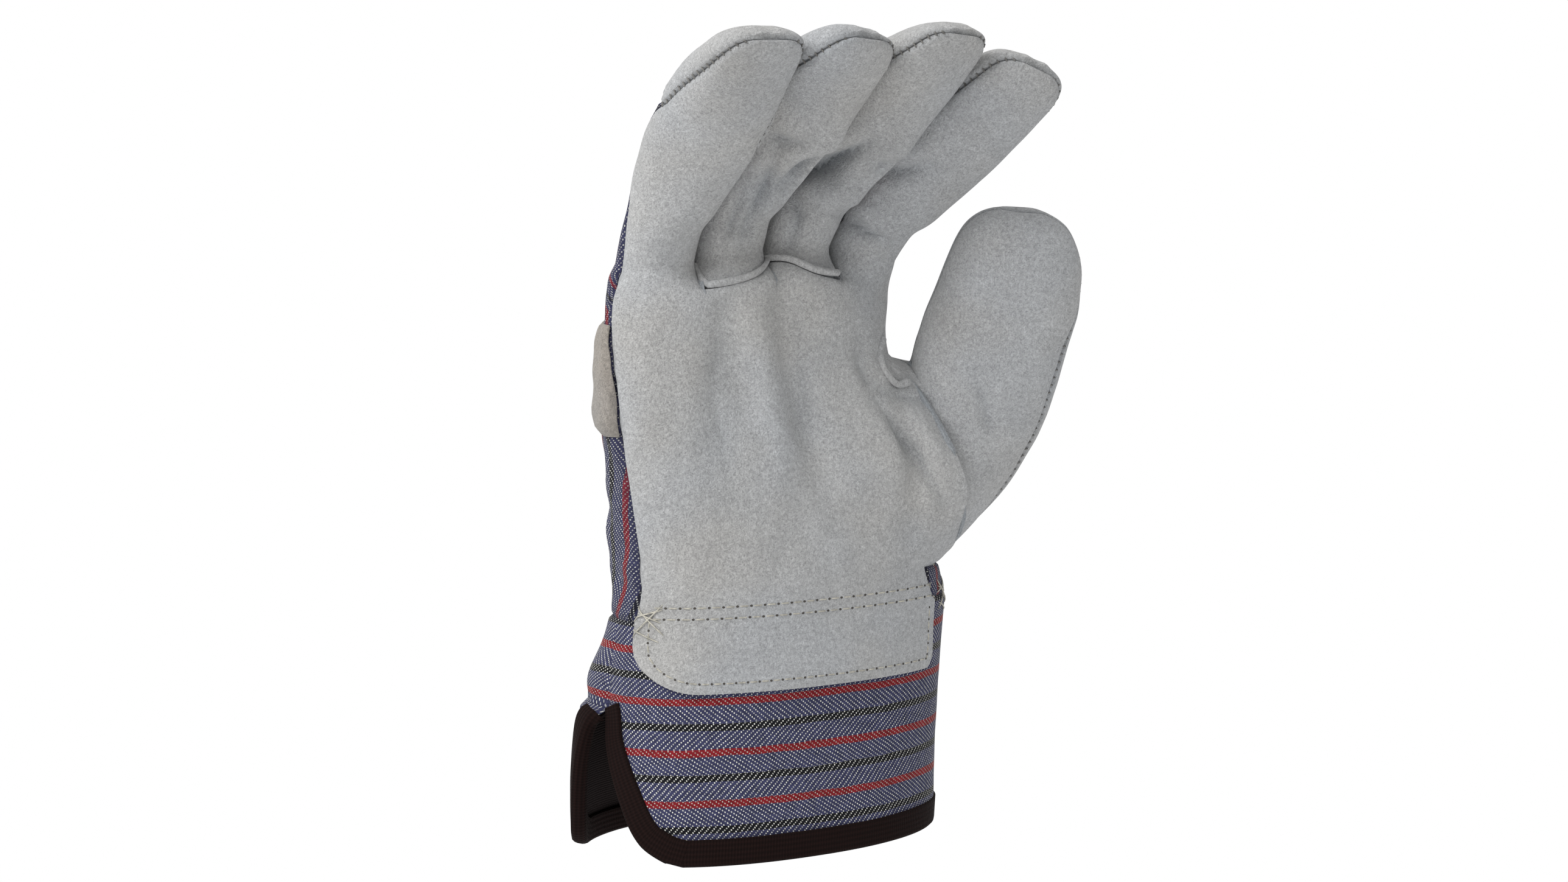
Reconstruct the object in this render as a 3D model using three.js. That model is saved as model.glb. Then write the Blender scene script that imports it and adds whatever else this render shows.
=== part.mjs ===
// A rigger's work glove for the right hand, filled out as if worn: fingers up (+Z) and curled forwards,
// palm facing -Y, thumb towards +X. The origin is the middle of the cuff's mouth. Lengths are in millimetres.
// Front and back of the hand are two faces of one form, which meet along the side seams; each leather or
// cloth panel is a patch of that form with its own wall thickness.
import * as THREE from 'three';

// Driving dimensions
const CUFF_LENGTH = 69;
const MOUTH_HALF_WIDTH = 58;
const MOUTH_HALF_DEPTH = 34;
const WRIST_HALF_WIDTH = 57;
const WRIST_HALF_DEPTH = 27;
const WRIST_SHIFT = 7.5;
const PALM_LENGTH = 106;
const KNUCKLE_HALF_WIDTH = 45;
const KNUCKLE_HALF_DEPTH = 18;
const THUMB_CROTCH_HEIGHT = 77;
const THUMB_FOOT_HEIGHT = 10;
const THUMB_LENGTH = 106;
const THUMB_HALF_WIDTH = 22.5;
const THUMB_HALF_DEPTH = 13;
const FINGER_CURL = 1;

const LEATHER = 1.6;
const CANVAS = 1.2;
const LINING = 0.9;
const SEAM_GAP = 0.8;
const LAYER_GAP = 0.7;
const BRAID_GAP = 1.3;
const BRAID_GAP_INSIDE = 1.45;
const EDGE_BEVEL = 0.5;
const MOST_MITRE = 2.2;
const WELT_GAP = 0.9;
const WRIST_GAP = 1.1;

const FLAP_DROP = 20.5;
const FLAP_CORNER = 17;
const SLIT_HEIGHT = 44;
const SLIT_FLARE = 6.5;
// The flare beside the slit, by shares: of a half wave over the slit's height, and backwards
const SLIT_OPENING = 0.85;
const FLARE_BACKWARDS = 0.5;
const CUFF_SWELL = 19;
const CUFF_SWELL_HEIGHT = 49;
const CUFF_SWELL_REACH = 11;
const BINDING_WIDTH = 8.5;
const BINDING_THICKNESS = 0.9;
const WELT_WIDTH = 2.6;
const WELT_HEIGHT = 1.4;
const STRAP_LIFT = LAYER_GAP + LEATHER;
const CUFF_LIFT = -(LEATHER + LAYER_GAP);
const BACK_RAMP = 14;

// Facets round one face of a finger, and rows along a finger, the thumb and the cuff
const FINGER_FACETS = 6;
const FINGER_ROWS = 11;
const THUMB_ROWS = 13;
const THUMB_SIDE_ROWS = 8;
const CUFF_FACETS = 36;
// How much closer the rows stand towards a tip
const FINGER_ROW_CROWDING = 0.8;
const THUMB_ROW_CROWDING = 0.45;
const SEAM_ROW_PLACE = 0.6;

// Palm sections, up the hand. width and depths are shares of the size blended from wrist to knuckles;
// shift moves the section to the thumb side, in WRIST_SHIFTs; seam turns the little finger's side seam to
// the front, in degrees; cup sinks the middle of the palm, in knuckle half depths.
const PALM_SECTIONS = [
  { up: 0.0, width: 1.0, shift: 1.0, seam: 17, front: 1.0, back: 1.0, cup: 0.0 },
  { up: 0.12, width: 0.96, shift: 0.8, seam: 16, front: 1.03, back: 0.93, cup: 0.05 },
  { up: 0.35, width: 0.99, shift: 0.45, seam: 13, front: 1.12, back: 0.92, cup: 0.22 },
  { up: 0.6, width: 0.98, shift: -0.22, seam: 10, front: 1.05, back: 1.0, cup: 0.25 },
  { up: 0.76, width: 0.965, shift: -0.56, seam: 6, front: 1.0, back: 1.06, cup: 0.15 },
  { up: 0.9, width: 1.0, shift: -0.45, seam: 1, front: 0.97, back: 1.03, cup: 0.06 },
  { up: 1.0, width: 1.02, shift: -0.1, seam: 0, front: 0.9, back: 1.0, cup: 0.0 },
];

// Where the fingers part, across the hand from little finger to thumb side; up is a share of PALM_LENGTH.
const KNUCKLE_LINE = [
  { across: -1.0, up: 0.95 },
  { across: -0.5, up: 0.98 },
  { across: 0.0, up: 1.01 },
  { across: 0.5, up: 1.0 },
  { across: 1.0, up: 0.95 },
];

// Fingers. pitch is the forward curl at the base, middle and tip; lean is towards the thumb side; roll
// turns the flat of the finger towards the little finger's side, in its middle and at its tip.
const FINGERS = [
  {
    name: 'little', length: 88, halfWidth: 15.2, halfDepth: 8.5,
    pitch: [20, 41, 62], lean: [2, 6.6, 0], roll: [37, 0],
  },
  {
    name: 'ring', length: 88, halfWidth: 14.8, halfDepth: 8.5,
    pitch: [18, 45, 60], lean: [4.5, 11.3, 9], roll: [37, 0],
  },
  {
    name: 'middle', length: 91, halfWidth: 15, halfDepth: 8.5,
    pitch: [19, 46, 60], lean: [8, 15.5, 12], roll: [37, 0],
  },
  {
    name: 'index', length: 84, halfWidth: 15, halfDepth: 9.2,
    pitch: [28, 47, 55], lean: [16, 20, 11], roll: [30, 22],
  },
];

// Finger sections, from the knuckle line to the tip: shares of the finger's own half width and depth.
const FINGER_SECTIONS = [
  { up: 0.0, width: 0.74, depth: 1.35, roll: 0.0 },
  { up: 0.15, width: 0.75, depth: 1.18, roll: 0.62 },
  { up: 0.3, width: 0.9, depth: 1.03, roll: 1.0 },
  { up: 0.5, width: 1.0, depth: 1.0, roll: 1.0 },
  { up: 0.75, width: 0.96, depth: 1.0, roll: 1.0 },
  { up: 1.0, width: 0.87, depth: 1.0, roll: 1.0 },
];
// Where the width and the depth of a fingertip and the thumb's tip begin to round off, and how squarely.
const TIP_ROUND = { from: 0.84, squareness: 3.6 };
const TIP_TAPER = { from: 0.6, squareness: 2 };

// Thumb sections, from the base between crotch and foot to the tip. out, ahead and up place the middle
// of the section, as shares of THUMB_LENGTH; turn is the angle of the section below the horizontal.
const THUMB_SECTIONS = [
  { along: 0.0, out: 0.0, ahead: 0.0, up: 0.0, turn: 79, width: 1.45, depth: 1.35 },
  { along: 0.1, out: 0.09, ahead: 0.05, up: 0.04, turn: 65, width: 1.2, depth: 1.3 },
  { along: 0.26, out: 0.145, ahead: 0.1, up: 0.13, turn: 40, width: 1.05, depth: 1.2 },
  { along: 0.43, out: 0.165, ahead: 0.16, up: 0.265, turn: 22, width: 1.0, depth: 1.1 },
  { along: 0.62, out: 0.185, ahead: 0.21, up: 0.415, turn: 11, width: 0.98, depth: 1.0 },
  { along: 0.78, out: 0.19, ahead: 0.26, up: 0.54, turn: 6, width: 0.93, depth: 0.95 },
  { along: 1.0, out: 0.18, ahead: 0.31, up: 0.72, turn: 7, width: 0.86, depth: 0.85 },
];
const THUMB_TIP_ROUND = { from: 0.74, squareness: 2.5 };
const THUMB_YAW = 28;
const THUMB_YAW_BY = 0.5;
// How far up a finger and the thumb its free shape has taken over from the shape of its base
const FINGER_BLEND = 0.25;
const THUMB_BLEND = 0.2;

// The slit at the little finger's side of the cuff: how far round each of its edges stands, in degrees from
// the side, by height as a share of SLIT_HEIGHT.
const SLIT_EDGES = [
  { up: 0.0, front: 48, back: 27 },
  { up: 0.035, front: 41, back: 20 },
  { up: 0.14, front: 30, back: 13.5 },
  { up: 0.37, front: 19, back: 9 },
  { up: 0.72, front: 6.5, back: 5 },
  { up: 0.93, front: 3, back: 3 },
  { up: 1.0, front: 0, back: 0 },
];

// Folds pressed into the palm face: from and to are [across, up] shares, depth a share of KNUCKLE_HALF_DEPTH.
const PALM_FOLDS = [
  { from: [0.05, 0.95], to: [0.12, 0.35], width: 0.09, depth: 0.13 },
  { from: [-0.35, 0.8], to: [-0.2, 0.5], width: 0.09, depth: 0.08 },
  { from: [0.85, 0.62], to: [0.62, 0.22], width: 0.07, depth: 0.16 },
];
// Shares: where a fold has faded at its ends, and where folds begin above the wrist.
const FOLD_END = 0.08;
const WRIST_FLAT = 0.1;
// Folds across the front of a finger: at is the share of its length, depth a share of its half depth.
const FINGER_FOLDS = [
  { finger: 'ring', at: 0.1, width: 0.05, depth: 0.3 },
  { finger: 'middle', at: 0.16, width: 0.05, depth: 0.3 },
  { finger: 'middle', at: 0.34, width: 0.05, depth: 0.22 },
  { finger: 'index', at: 0.18, width: 0.07, depth: 0.16 },
];
// The welt round the thumb crotch, as [across, up] shares on the palm.
const CROTCH_WELT = [[0.93, 0.775], [0.83, 0.735], [0.78, 0.69], [0.79, 0.655], [0.84, 0.635], [0.93, 0.645]];

const THUMB_CROTCH = THUMB_CROTCH_HEIGHT / PALM_LENGTH;
const THUMB_FOOT = THUMB_FOOT_HEIGHT / PALM_LENGTH;
const FINGER_SEAM = 0.93;
const FINGER_MERGE = 0.86;
const CAP_ROW = 5;
const STRAP_FROM = 0.46;
const STRAP_TO = 0.86;
const SECTION_ROUNDNESS = 2.2;
const CURVE_STEPS = 24;

const radians = THREE.MathUtils.degToRad;
const mix = THREE.MathUtils.lerp;
const clamp = THREE.MathUtils.clamp;
const smooth = THREE.MathUtils.smoothstep;
const vector = (x, y, z) => new THREE.Vector3(x, y, z);

// Even steps round a half circle, seen from the side.
const arcShare = (i, n) => (1 - Math.cos((Math.PI * i) / n)) / 2;
const range = (n) => Array.from({ length: n + 1 }, (_, i) => i);

// A column of a table, read at any place between its rows with a smooth cubic.
function read(table, place, at, column) {
  const last = table.length - 1;
  let i = table.findIndex((row) => row[place] > at) - 1;
  if (i < 0) i = at <= table[0][place] ? 0 : last - 1;
  const value = (k) => table[clamp(k, 0, last)][column];
  const spot = (k) => table[clamp(k, 0, last)][place];
  const slope = (k) => (value(k + 1) - value(k - 1)) / Math.max(spot(k + 1) - spot(k - 1), 1e-9);
  const span = spot(i + 1) - spot(i);
  const t = clamp((at - spot(i)) / span, 0, 1);
  const t2 = t * t;
  const t3 = t2 * t;
  return (2 * t3 - 3 * t2 + 1) * value(i) + (t3 - 2 * t2 + t) * span * slope(i)
    + (3 * t2 - 2 * t3) * value(i + 1) + (t3 - t2) * span * slope(i + 1);
}

// Height of a rounded section over its middle line, for across from -1 to 1; end is its height at the edge.
function bulge(across, end = 0) {
  const n = SECTION_ROUNDNESS;
  const fall = (1 - end ** n) * Math.abs(across) ** n;
  return Math.max(0, 1 - fall) ** (1 / n);
}

// Rounding of a tip: 1 along the finger, falling to 0 at the end.
function tipShare(at, { from, squareness }) {
  const past = clamp((at - from) / (1 - from), 0, 1);
  return Math.max(0, 1 - past ** squareness) ** (1 / squareness);
}

// Cuff and palm: the middle line and half sizes of the section at a height.
function cuffSection(height) {
  const up = Math.max(height, 0) / CUFF_LENGTH;
  return {
    x: WRIST_SHIFT * up,
    halfWidth: mix(MOUTH_HALF_WIDTH, WRIST_HALF_WIDTH, up),
    halfDepth: mix(MOUTH_HALF_DEPTH, WRIST_HALF_DEPTH, up),
  };
}

function palmSection(up) {
  const column = (name) => read(PALM_SECTIONS, 'up', up, name);
  const depth = mix(WRIST_HALF_DEPTH, KNUCKLE_HALF_DEPTH, smooth(up, 0, 1));
  return {
    x: WRIST_SHIFT * column('shift'),
    seam: radians(column('seam')),
    halfWidth: mix(WRIST_HALF_WIDTH, KNUCKLE_HALF_WIDTH, up) * column('width'),
    front: depth * column('front'),
    back: depth * column('back'),
    cup: column('cup') * KNUCKLE_HALF_DEPTH,
  };
}

// How open the palm's thumb side is: 0 from the thumb's foot down and its crotch up, where front and
// back meet.
function thumbOpening(up) {
  const off = (2 * up - THUMB_CROTCH - THUMB_FOOT) / (THUMB_CROTCH - THUMB_FOOT);
  return Math.sqrt(Math.max(0, 1 - off * off));
}

function foldDepth(across, up) {
  let depth = 0;
  for (const fold of PALM_FOLDS) {
    const a = new THREE.Vector2(...fold.from);
    const b = new THREE.Vector2(...fold.to);
    const line = b.clone().sub(a);
    const p = new THREE.Vector2(across, up).sub(a);
    const along = clamp(p.dot(line) / line.lengthSq(), 0, 1);
    const off = p.sub(line.clone().multiplyScalar(along)).length() / fold.width;
    const fade = Math.sqrt(Math.sin(Math.PI * clamp(along, FOLD_END, 1 - FOLD_END)));
    depth += fold.depth * fade * Math.exp(-off * off);
  }
  return depth * KNUCKLE_HALF_DEPTH;
}

// A point of the hand below the knuckle line. finger and share give the place across, side is -1 on the
// palm and 1 on the back.
function palmPoint(finger, share, up, side) {
  const across = -1 + (finger + share) / 2;
  const section = palmSection(up);
  const turn = Math.acos(clamp(-across, -1, 1));
  const turned = section.seam * Math.max(0, 1 - turn / (Math.PI / 2)) ** 2 - side * turn;
  const place = -Math.cos(turned);
  const face = turned > 0 ? -1 : 1;
  const end = across > 0 ? thumbOpening(up) : 0;
  const palmShare = 1 - smooth(up, FINGER_MERGE, 1);
  const palmDepth = (face < 0 ? section.front : section.back) * bulge(place, end);
  const fingerDepth = fingerSection(FINGERS[finger], 0).halfDepth * bulge(2 * share - 1);
  const depth = mix(side * fingerDepth, face * palmDepth, palmShare);
  const sink = side < 0 ? section.cup * bulge(across) ** 2 * (1 - across * across) * palmShare : 0;
  const fold = side < 0 ? foldDepth(across, up) * palmShare * smooth(up, 0, WRIST_FLAT) : 0;
  const top = CUFF_LENGTH + PALM_LENGTH * read(KNUCKLE_LINE, 'across', across, 'up');
  return vector(section.x + section.halfWidth * place, depth + sink + fold, mix(CUFF_LENGTH, top, up));
}

function fingerSection(finger, at) {
  const column = (name) => read(FINGER_SECTIONS, 'up', at, name);
  return {
    halfWidth: finger.halfWidth * column('width') * tipShare(at, TIP_ROUND),
    halfDepth: finger.halfDepth * column('depth') * tipShare(at, TIP_TAPER),
    roll: radians(mix(finger.roll[0], finger.roll[1], smooth(at, 0.45, 1))) * column('roll'),
  };
}

// Quadratic through three angles, at the base, middle and tip.
function bend([base, middle, tip], at) {
  return base * (1 - at) * (1 - 2 * at) + 4 * middle * at * (1 - at) + tip * at * (2 * at - 1);
}

function fingerDirection(finger, at) {
  const pitch = radians(bend(finger.pitch, at)) * FINGER_CURL;
  const lean = radians(bend(finger.lean, at));
  return vector(Math.sin(lean), -Math.cos(lean) * Math.sin(pitch), Math.cos(lean) * Math.cos(pitch));
}

// Where a finger's middle line has got to, starting from the middle of its base.
function fingerCentre(index, at) {
  const finger = FINGERS[index];
  const low = palmPoint(index, 0, 1, 1);
  const high = palmPoint(index, 1, 1, 1);
  const centre = low.add(high).multiplyScalar(0.5);
  const step = at / CURVE_STEPS;
  for (let i = 0; i < CURVE_STEPS; i++) {
    centre.addScaledVector(fingerDirection(finger, (i + 0.5) * step), finger.length * step);
  }
  return centre;
}

function fingerFold(finger, at, share) {
  let depth = 0;
  for (const fold of FINGER_FOLDS.filter((row) => row.finger === finger.name)) {
    const off = (at - fold.at) / fold.width;
    depth += fold.depth * Math.exp(-off * off) * bulge(2 * share - 1);
  }
  return depth * finger.halfDepth;
}

function fingerPoint(index, share, at, side) {
  const finger = FINGERS[index];
  const section = fingerSection(finger, at);
  const along = fingerDirection(finger, at);
  const across = vector(1, 0, 0).addScaledVector(along, -along.x).normalize();
  const outward = along.clone().cross(across);
  const lateral = across.clone().multiplyScalar(Math.cos(section.roll))
    .addScaledVector(outward, -Math.sin(section.roll));
  const dorsal = outward.clone().multiplyScalar(Math.cos(section.roll))
    .addScaledVector(across, Math.sin(section.roll));
  const fold = side < 0 ? fingerFold(finger, at, share) : 0;
  const free = fingerCentre(index, at)
    .addScaledVector(lateral, section.halfWidth * (2 * share - 1))
    .addScaledVector(dorsal, side * (section.halfDepth * bulge(2 * share - 1) - fold));
  const base = palmPoint(index, share, 1, side);
  const start = fingerCentre(index, 0);
  base.add(fingerCentre(index, at).sub(start));
  return base.lerp(free, smooth(at, 0, FINGER_BLEND));
}

function thumbCentre(at) {
  const column = (name) => read(THUMB_SECTIONS, 'along', at, name);
  const crotch = palmPoint(3, 1, THUMB_CROTCH, 1);
  const foot = palmPoint(3, 1, THUMB_FOOT, 1);
  return crotch.add(foot).multiplyScalar(0.5)
    .add(vector(column('out'), -column('ahead'), column('up')).multiplyScalar(THUMB_LENGTH));
}

// The thumb grows from the palm's thumb side: share runs from the crotch, round the outside, to the foot.
function thumbPoint(share, at, side) {
  const base = palmPoint(3, 1, mix(THUMB_CROTCH, THUMB_FOOT, share), side);
  const column = (name) => read(THUMB_SECTIONS, 'along', at, name);
  const tip = tipShare(at, THUMB_TIP_ROUND);
  const turn = radians(column('turn'));
  const yaw = radians(THUMB_YAW) * smooth(at, 0, THUMB_YAW_BY);
  const lateral = vector(Math.cos(turn) * Math.cos(yaw), -Math.cos(turn) * Math.sin(yaw), -Math.sin(turn));
  const near = 0.5 / CURVE_STEPS;
  const travel = thumbCentre(Math.min(at + near, 1)).sub(thumbCentre(Math.max(at - near, 0)));
  const normal = travel.cross(lateral).normalize();
  const free = thumbCentre(at)
    .addScaledVector(lateral, THUMB_HALF_WIDTH * column('width') * tip * (2 * share - 1))
    .addScaledVector(normal, side * THUMB_HALF_DEPTH * column('depth') * tip * bulge(2 * share - 1));
  return base.lerp(free, smooth(at, 0, THUMB_BLEND));
}

// A point of the cuff. turn runs from the little finger's side round the front; beside the slit the back
// half stands out from the front half.
function cuffPoint(turn, height) {
  const section = cuffSection(height);
  const round = (value) => Math.sign(value) * Math.abs(value) ** (2 / SECTION_ROUNDNESS);
  const beside = turn > Math.PI ? Math.max(0, Math.cos(turn)) ** 2 : 0;
  const low = clamp(1 - height / SLIT_HEIGHT, 0, 1);
  const off = (height - CUFF_SWELL_HEIGHT) / CUFF_SWELL_REACH;
  const swell = CUFF_SWELL * Math.exp(-off * off) * Math.abs(Math.sin(turn));
  const open = Math.sin(SLIT_OPENING * Math.PI * Math.sqrt(low));
  const flare = beside * (SLIT_FLARE * open + swell);
  return vector(
    section.x - (section.halfWidth + flare) * round(Math.cos(turn)),
    -(section.halfDepth + FLARE_BACKWARDS * flare) * round(Math.sin(turn)),
    height,
  );
}

function slitEdge(height, edge) {
  return height >= SLIT_HEIGHT ? 0 : radians(read(SLIT_EDGES, 'up', height / SLIT_HEIGHT, edge));
}

// A surface is a list of four-cornered faces over shared points; each face carries tags that say where it is.
class Surface {
  points = [];
  faces = [];
  known = new Map();

  add(point) {
    const key = [point.x, point.y, point.z].map((value) => Math.round(value * 1e4)).join();
    if (!this.known.has(key)) {
      this.known.set(key, this.points.length);
      this.points.push(point);
    }
    return this.known.get(key);
  }

  // A grid of faces over point(column, row); outwards is false where the grid runs the other way round.
  grid(columns, rows, point, tags, outwards = true) {
    const ids = rows.map((row) => columns.map((column) => this.add(point(column, row))));
    for (let r = 0; r + 1 < rows.length; r++) {
      for (let c = 0; c + 1 < columns.length; c++) {
        const ring = [ids[r][c], ids[r][c + 1], ids[r + 1][c + 1], ids[r + 1][c]];
        const corners = ring.filter((id, i) => id !== ring[(i + 3) % 4]);
        if (corners.length < 3) continue;
        if (!outwards) corners.reverse();
        this.faces.push({ ...tags, column: c, row: r, corners });
      }
    }
  }

  normals() {
    const sums = this.points.map(() => vector(0, 0, 0));
    for (const { corners } of this.faces) {
      const normal = faceNormal(corners.map((id) => this.points[id]));
      corners.forEach((id) => sums[id].add(normal));
    }
    return sums.map((sum) => sum.normalize());
  }
}

function faceNormal(points) {
  const normal = vector(0, 0, 0);
  points.forEach((point, i) => {
    normal.add(point.clone().cross(points[(i + 1) % points.length]));
  });
  return normal;
}

function geometryFrom(points, triangles) {
  const geometry = new THREE.BufferGeometry();
  const flat = triangles.flatMap((triangle) => triangle.flatMap((id) => points[id].toArray()));
  geometry.setAttribute('position', new THREE.Float32BufferAttribute(flat, 3));
  geometry.computeVertexNormals();
  return geometry;
}

// A panel's wall: the chosen faces, lifted off the form by lift and thickened inwards, with its edge drawn
// back by half a seam gap so that neighbouring panels stay apart.
function panelGeometry(surface, chosen, thickness, lift = () => 0) {
  const faces = surface.faces.filter(chosen);
  const normals = surface.normals();
  const edges = new Map();
  for (const { corners } of faces) {
    const facing = faceNormal(corners.map((id) => surface.points[id]));
    corners.forEach((from, i) => {
      const to = corners[(i + 1) % corners.length];
      if (edges.has(`${to},${from}`)) edges.delete(`${to},${from}`);
      else edges.set(`${from},${to}`, [from, to, facing]);
    });
  }
  const rim = [...edges.values()];
  const rimPoints = new Set(rim.flatMap(([from, to]) => [from, to]));
  const used = [...new Set(faces.flatMap((face) => face.corners))];
  const slot = new Map(used.map((id, i) => [id, i]));
  const inwards = new Map([...rimPoints].map((id) => [id, vector(0, 0, 0)]));
  for (const [from, to, facing] of rim) {
    const along = surface.points[to].clone().sub(surface.points[from]);
    const inward = facing.clone().cross(along).normalize();
    inwards.get(from).add(inward);
    inwards.get(to).add(inward);
  }
  for (const pull of inwards.values()) {
    pull.multiplyScalar(Math.min(2 / pull.lengthSq(), MOST_MITRE / pull.length()));
  }
  const place = (id, edge, out) => {
    const point = surface.points[id].clone().addScaledVector(normals[id], lift(surface.points[id]) + out);
    return inwards.has(id) ? point.addScaledVector(inwards.get(id), edge) : point;
  };
  const outer = used.map((id) => place(id, SEAM_GAP / 2, 0));
  const inner = used.map((id) => place(id, SEAM_GAP / 2 + EDGE_BEVEL, -thickness));
  const count = used.length;
  const triangles = [];
  for (const { corners } of faces) {
    const ids = corners.map((id) => slot.get(id));
    for (let i = 1; i + 1 < ids.length; i++) {
      triangles.push([ids[0], ids[i], ids[i + 1]]);
      triangles.push([ids[0] + count, ids[i + 1] + count, ids[i] + count]);
    }
  }
  for (const [from, to] of rim) {
    const a = slot.get(from);
    const b = slot.get(to);
    triangles.push([b, a, a + count], [b, a + count, b + count]);
  }
  return geometryFrom([...outer, ...inner], triangles);
}

// A strip swept along a path. Each stop is a function that places a point of the profile, a closed outline
// of [in from the edge, out from the surface] pairs.
function sweptGeometry(stops, profile) {
  const points = stops.flatMap((place) => profile.map(([into, out]) => place(into, out)));
  const n = profile.length;
  const triangles = [];
  for (let s = 0; s + 1 < stops.length; s++) {
    for (let k = 0; k < n; k++) {
      const a = s * n + k;
      const b = s * n + ((k + 1) % n);
      triangles.push([a, b, b + n], [a, b + n, a + n]);
    }
  }
  const cap = THREE.ShapeUtils.triangulateShape(profile.map(([x, y]) => new THREE.Vector2(x, y)), []);
  const end = (stops.length - 1) * n;
  for (const [a, b, c] of cap) {
    triangles.push([a, c, b], [a + end, b + end, c + end]);
  }
  return geometryFrom(points, triangles);
}

// Places for a strip that follows a line over a surface. line gives the surface's own two coordinates at
// each stop; the strip's inner side is to the left of the line, seen from outside.
function stopsAlong(surfacePoint, line) {
  const step = 1e-3;
  return line.map(([u, v], i) => {
    const before = line[Math.max(i - 1, 0)];
    const after = line[Math.min(i + 1, line.length - 1)];
    const scaleU = surfacePoint(u + step, v).distanceTo(surfacePoint(u - step, v)) / (2 * step);
    const scaleV = surfacePoint(u, v + step).distanceTo(surfacePoint(u, v - step)) / (2 * step);
    const along = new THREE.Vector2((after[0] - before[0]) * scaleU, (after[1] - before[1]) * scaleV);
    along.normalize();
    return (into, out) => {
      const a = u - (along.y * into) / scaleU;
      const b = v + (along.x * into) / scaleV;
      const acrossU = surfacePoint(a + step, b).sub(surfacePoint(a - step, b));
      const acrossV = surfacePoint(a, b + step).sub(surfacePoint(a, b - step));
      return surfacePoint(a, b).addScaledVector(acrossU.cross(acrossV).normalize(), out);
    };
  });
}

const glove = new THREE.Group();

function addPiece(name, geometry, colour, roughness) {
  const material = new THREE.MeshStandardMaterial({ color: colour, roughness, metalness: 0 });
  const mesh = new THREE.Mesh(geometry, material);
  mesh.name = name;
  glove.add(mesh);
}

const SUEDE = { colour: '#b9bcbc', roughness: 0.95 };
const STRIPED = { colour: '#6a6c92', roughness: 0.9 };
const DARK_CLOTH = { colour: '#15181f', roughness: 0.9 };
const BRAID = { colour: '#2a1a17', roughness: 0.85 };
const addSuede = (name, geometry) => addPiece(name, geometry, SUEDE.colour, SUEDE.roughness);

// The hand's form: palm and back, four fingers and the thumb
const palmRows = [
  0,
  ...range(THUMB_SIDE_ROWS).map((i) => mix(THUMB_FOOT, THUMB_CROTCH, arcShare(i, THUMB_SIDE_ROWS))),
  mix(THUMB_CROTCH, FINGER_SEAM, SEAM_ROW_PLACE),
  FINGER_SEAM,
  mix(FINGER_SEAM, 1, SEAM_ROW_PLACE),
  1,
];
const seamRow = palmRows.indexOf(FINGER_SEAM);
const shares = range(FINGER_FACETS).map((i) => arcShare(i, FINGER_FACETS));
const fingerRows = range(FINGER_ROWS).map((i) => {
  const even = i / FINGER_ROWS;
  return mix(even, Math.sin((even * Math.PI) / 2), FINGER_ROW_CROWDING);
});
const thumbRows = range(THUMB_ROWS).map((i) => {
  const even = i / THUMB_ROWS;
  return mix(even, Math.sin((even * Math.PI) / 2), THUMB_ROW_CROWDING);
});
const thumbShares = range(THUMB_SIDE_ROWS).map((i) => 1 - arcShare(THUMB_SIDE_ROWS - i, THUMB_SIDE_ROWS));

const hand = new Surface();
for (const side of [-1, 1]) {
  FINGERS.forEach((finger, index) => {
    hand.grid(shares, palmRows, (share, up) => palmPoint(index, share, up, side), {
      part: 'palm', finger: index, side,
    }, side < 0);
    hand.grid(shares, fingerRows, (share, at) => fingerPoint(index, share, at, side), {
      part: 'finger', finger: index, side,
    }, side < 0);
  });
  hand.grid(thumbShares, thumbRows, (share, at) => thumbPoint(share, at, side), {
    part: 'thumb', finger: 4, side,
  }, side < 0);
}

// The palm's leather runs on below the wrist as a flap over the cuff. Its own corner rounds off towards
// the little finger's side.
const FLAP_SHORT = 3;
const FLAP_SIDE = 0.35;
const FLAP_COLUMNS = 4 * FINGER_FACETS - FLAP_SHORT;
function flapPoint(column, drop) {
  const finger = Math.min(3, Math.floor(column / FINGER_FACETS));
  const share = arcShare(column - finger * FINGER_FACETS, FINGER_FACETS);
  const top = palmPoint(finger, share, 0, -1);
  const from = palmPoint(0, 0, 0, -1);
  const distance = clamp(1 - (top.x - from.x) / FLAP_CORNER, 0, 1);
  const reach = mix(FLAP_SIDE, 1, Math.sqrt(1 - distance * distance));
  const height = CUFF_LENGTH - FLAP_DROP * reach * drop;
  const section = cuffSection(height);
  const across = (top.x - WRIST_SHIFT) / WRIST_HALF_WIDTH;
  return vector(section.x + section.halfWidth * across, -section.halfDepth * bulge(across), height);
}
hand.grid(
  range(FLAP_COLUMNS),
  [1, 0.66, 0.33, 0],
  flapPoint,
  { part: 'flap', finger: -1, side: -1 },
);

// Panels of the hand
const front = (face) => face.side < 0;
const aboveSeam = (face) => face.part === 'finger' || (face.part === 'palm' && face.row >= seamRow);
const setInFinger = (index) => (face) => front(face) && face.finger === index && aboveSeam(face);
const isWristCloth = (face) => front(face) && face.part === 'palm' && face.row === 0 && face.finger === 3
  && face.column >= FINGER_FACETS - FLAP_SHORT;
const isPalm = (face) => front(face) && !isWristCloth(face)
  && !((face.finger === 1 || face.finger === 2) && aboveSeam(face));
addSuede('palm', panelGeometry(hand, isPalm, LEATHER));
addSuede('ring_finger_front', panelGeometry(hand, setInFinger(1), LEATHER));
addSuede('middle_finger_front', panelGeometry(hand, setInFinger(2), LEATHER));

const isCap = (index) => (face) => (
  !front(face) && face.part === 'finger' && face.finger === index && face.row >= CAP_ROW);
FINGERS.forEach((finger, index) => {
  addSuede(`${finger.name}_fingertip_cap`, panelGeometry(hand, isCap(index), LEATHER));
});

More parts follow.
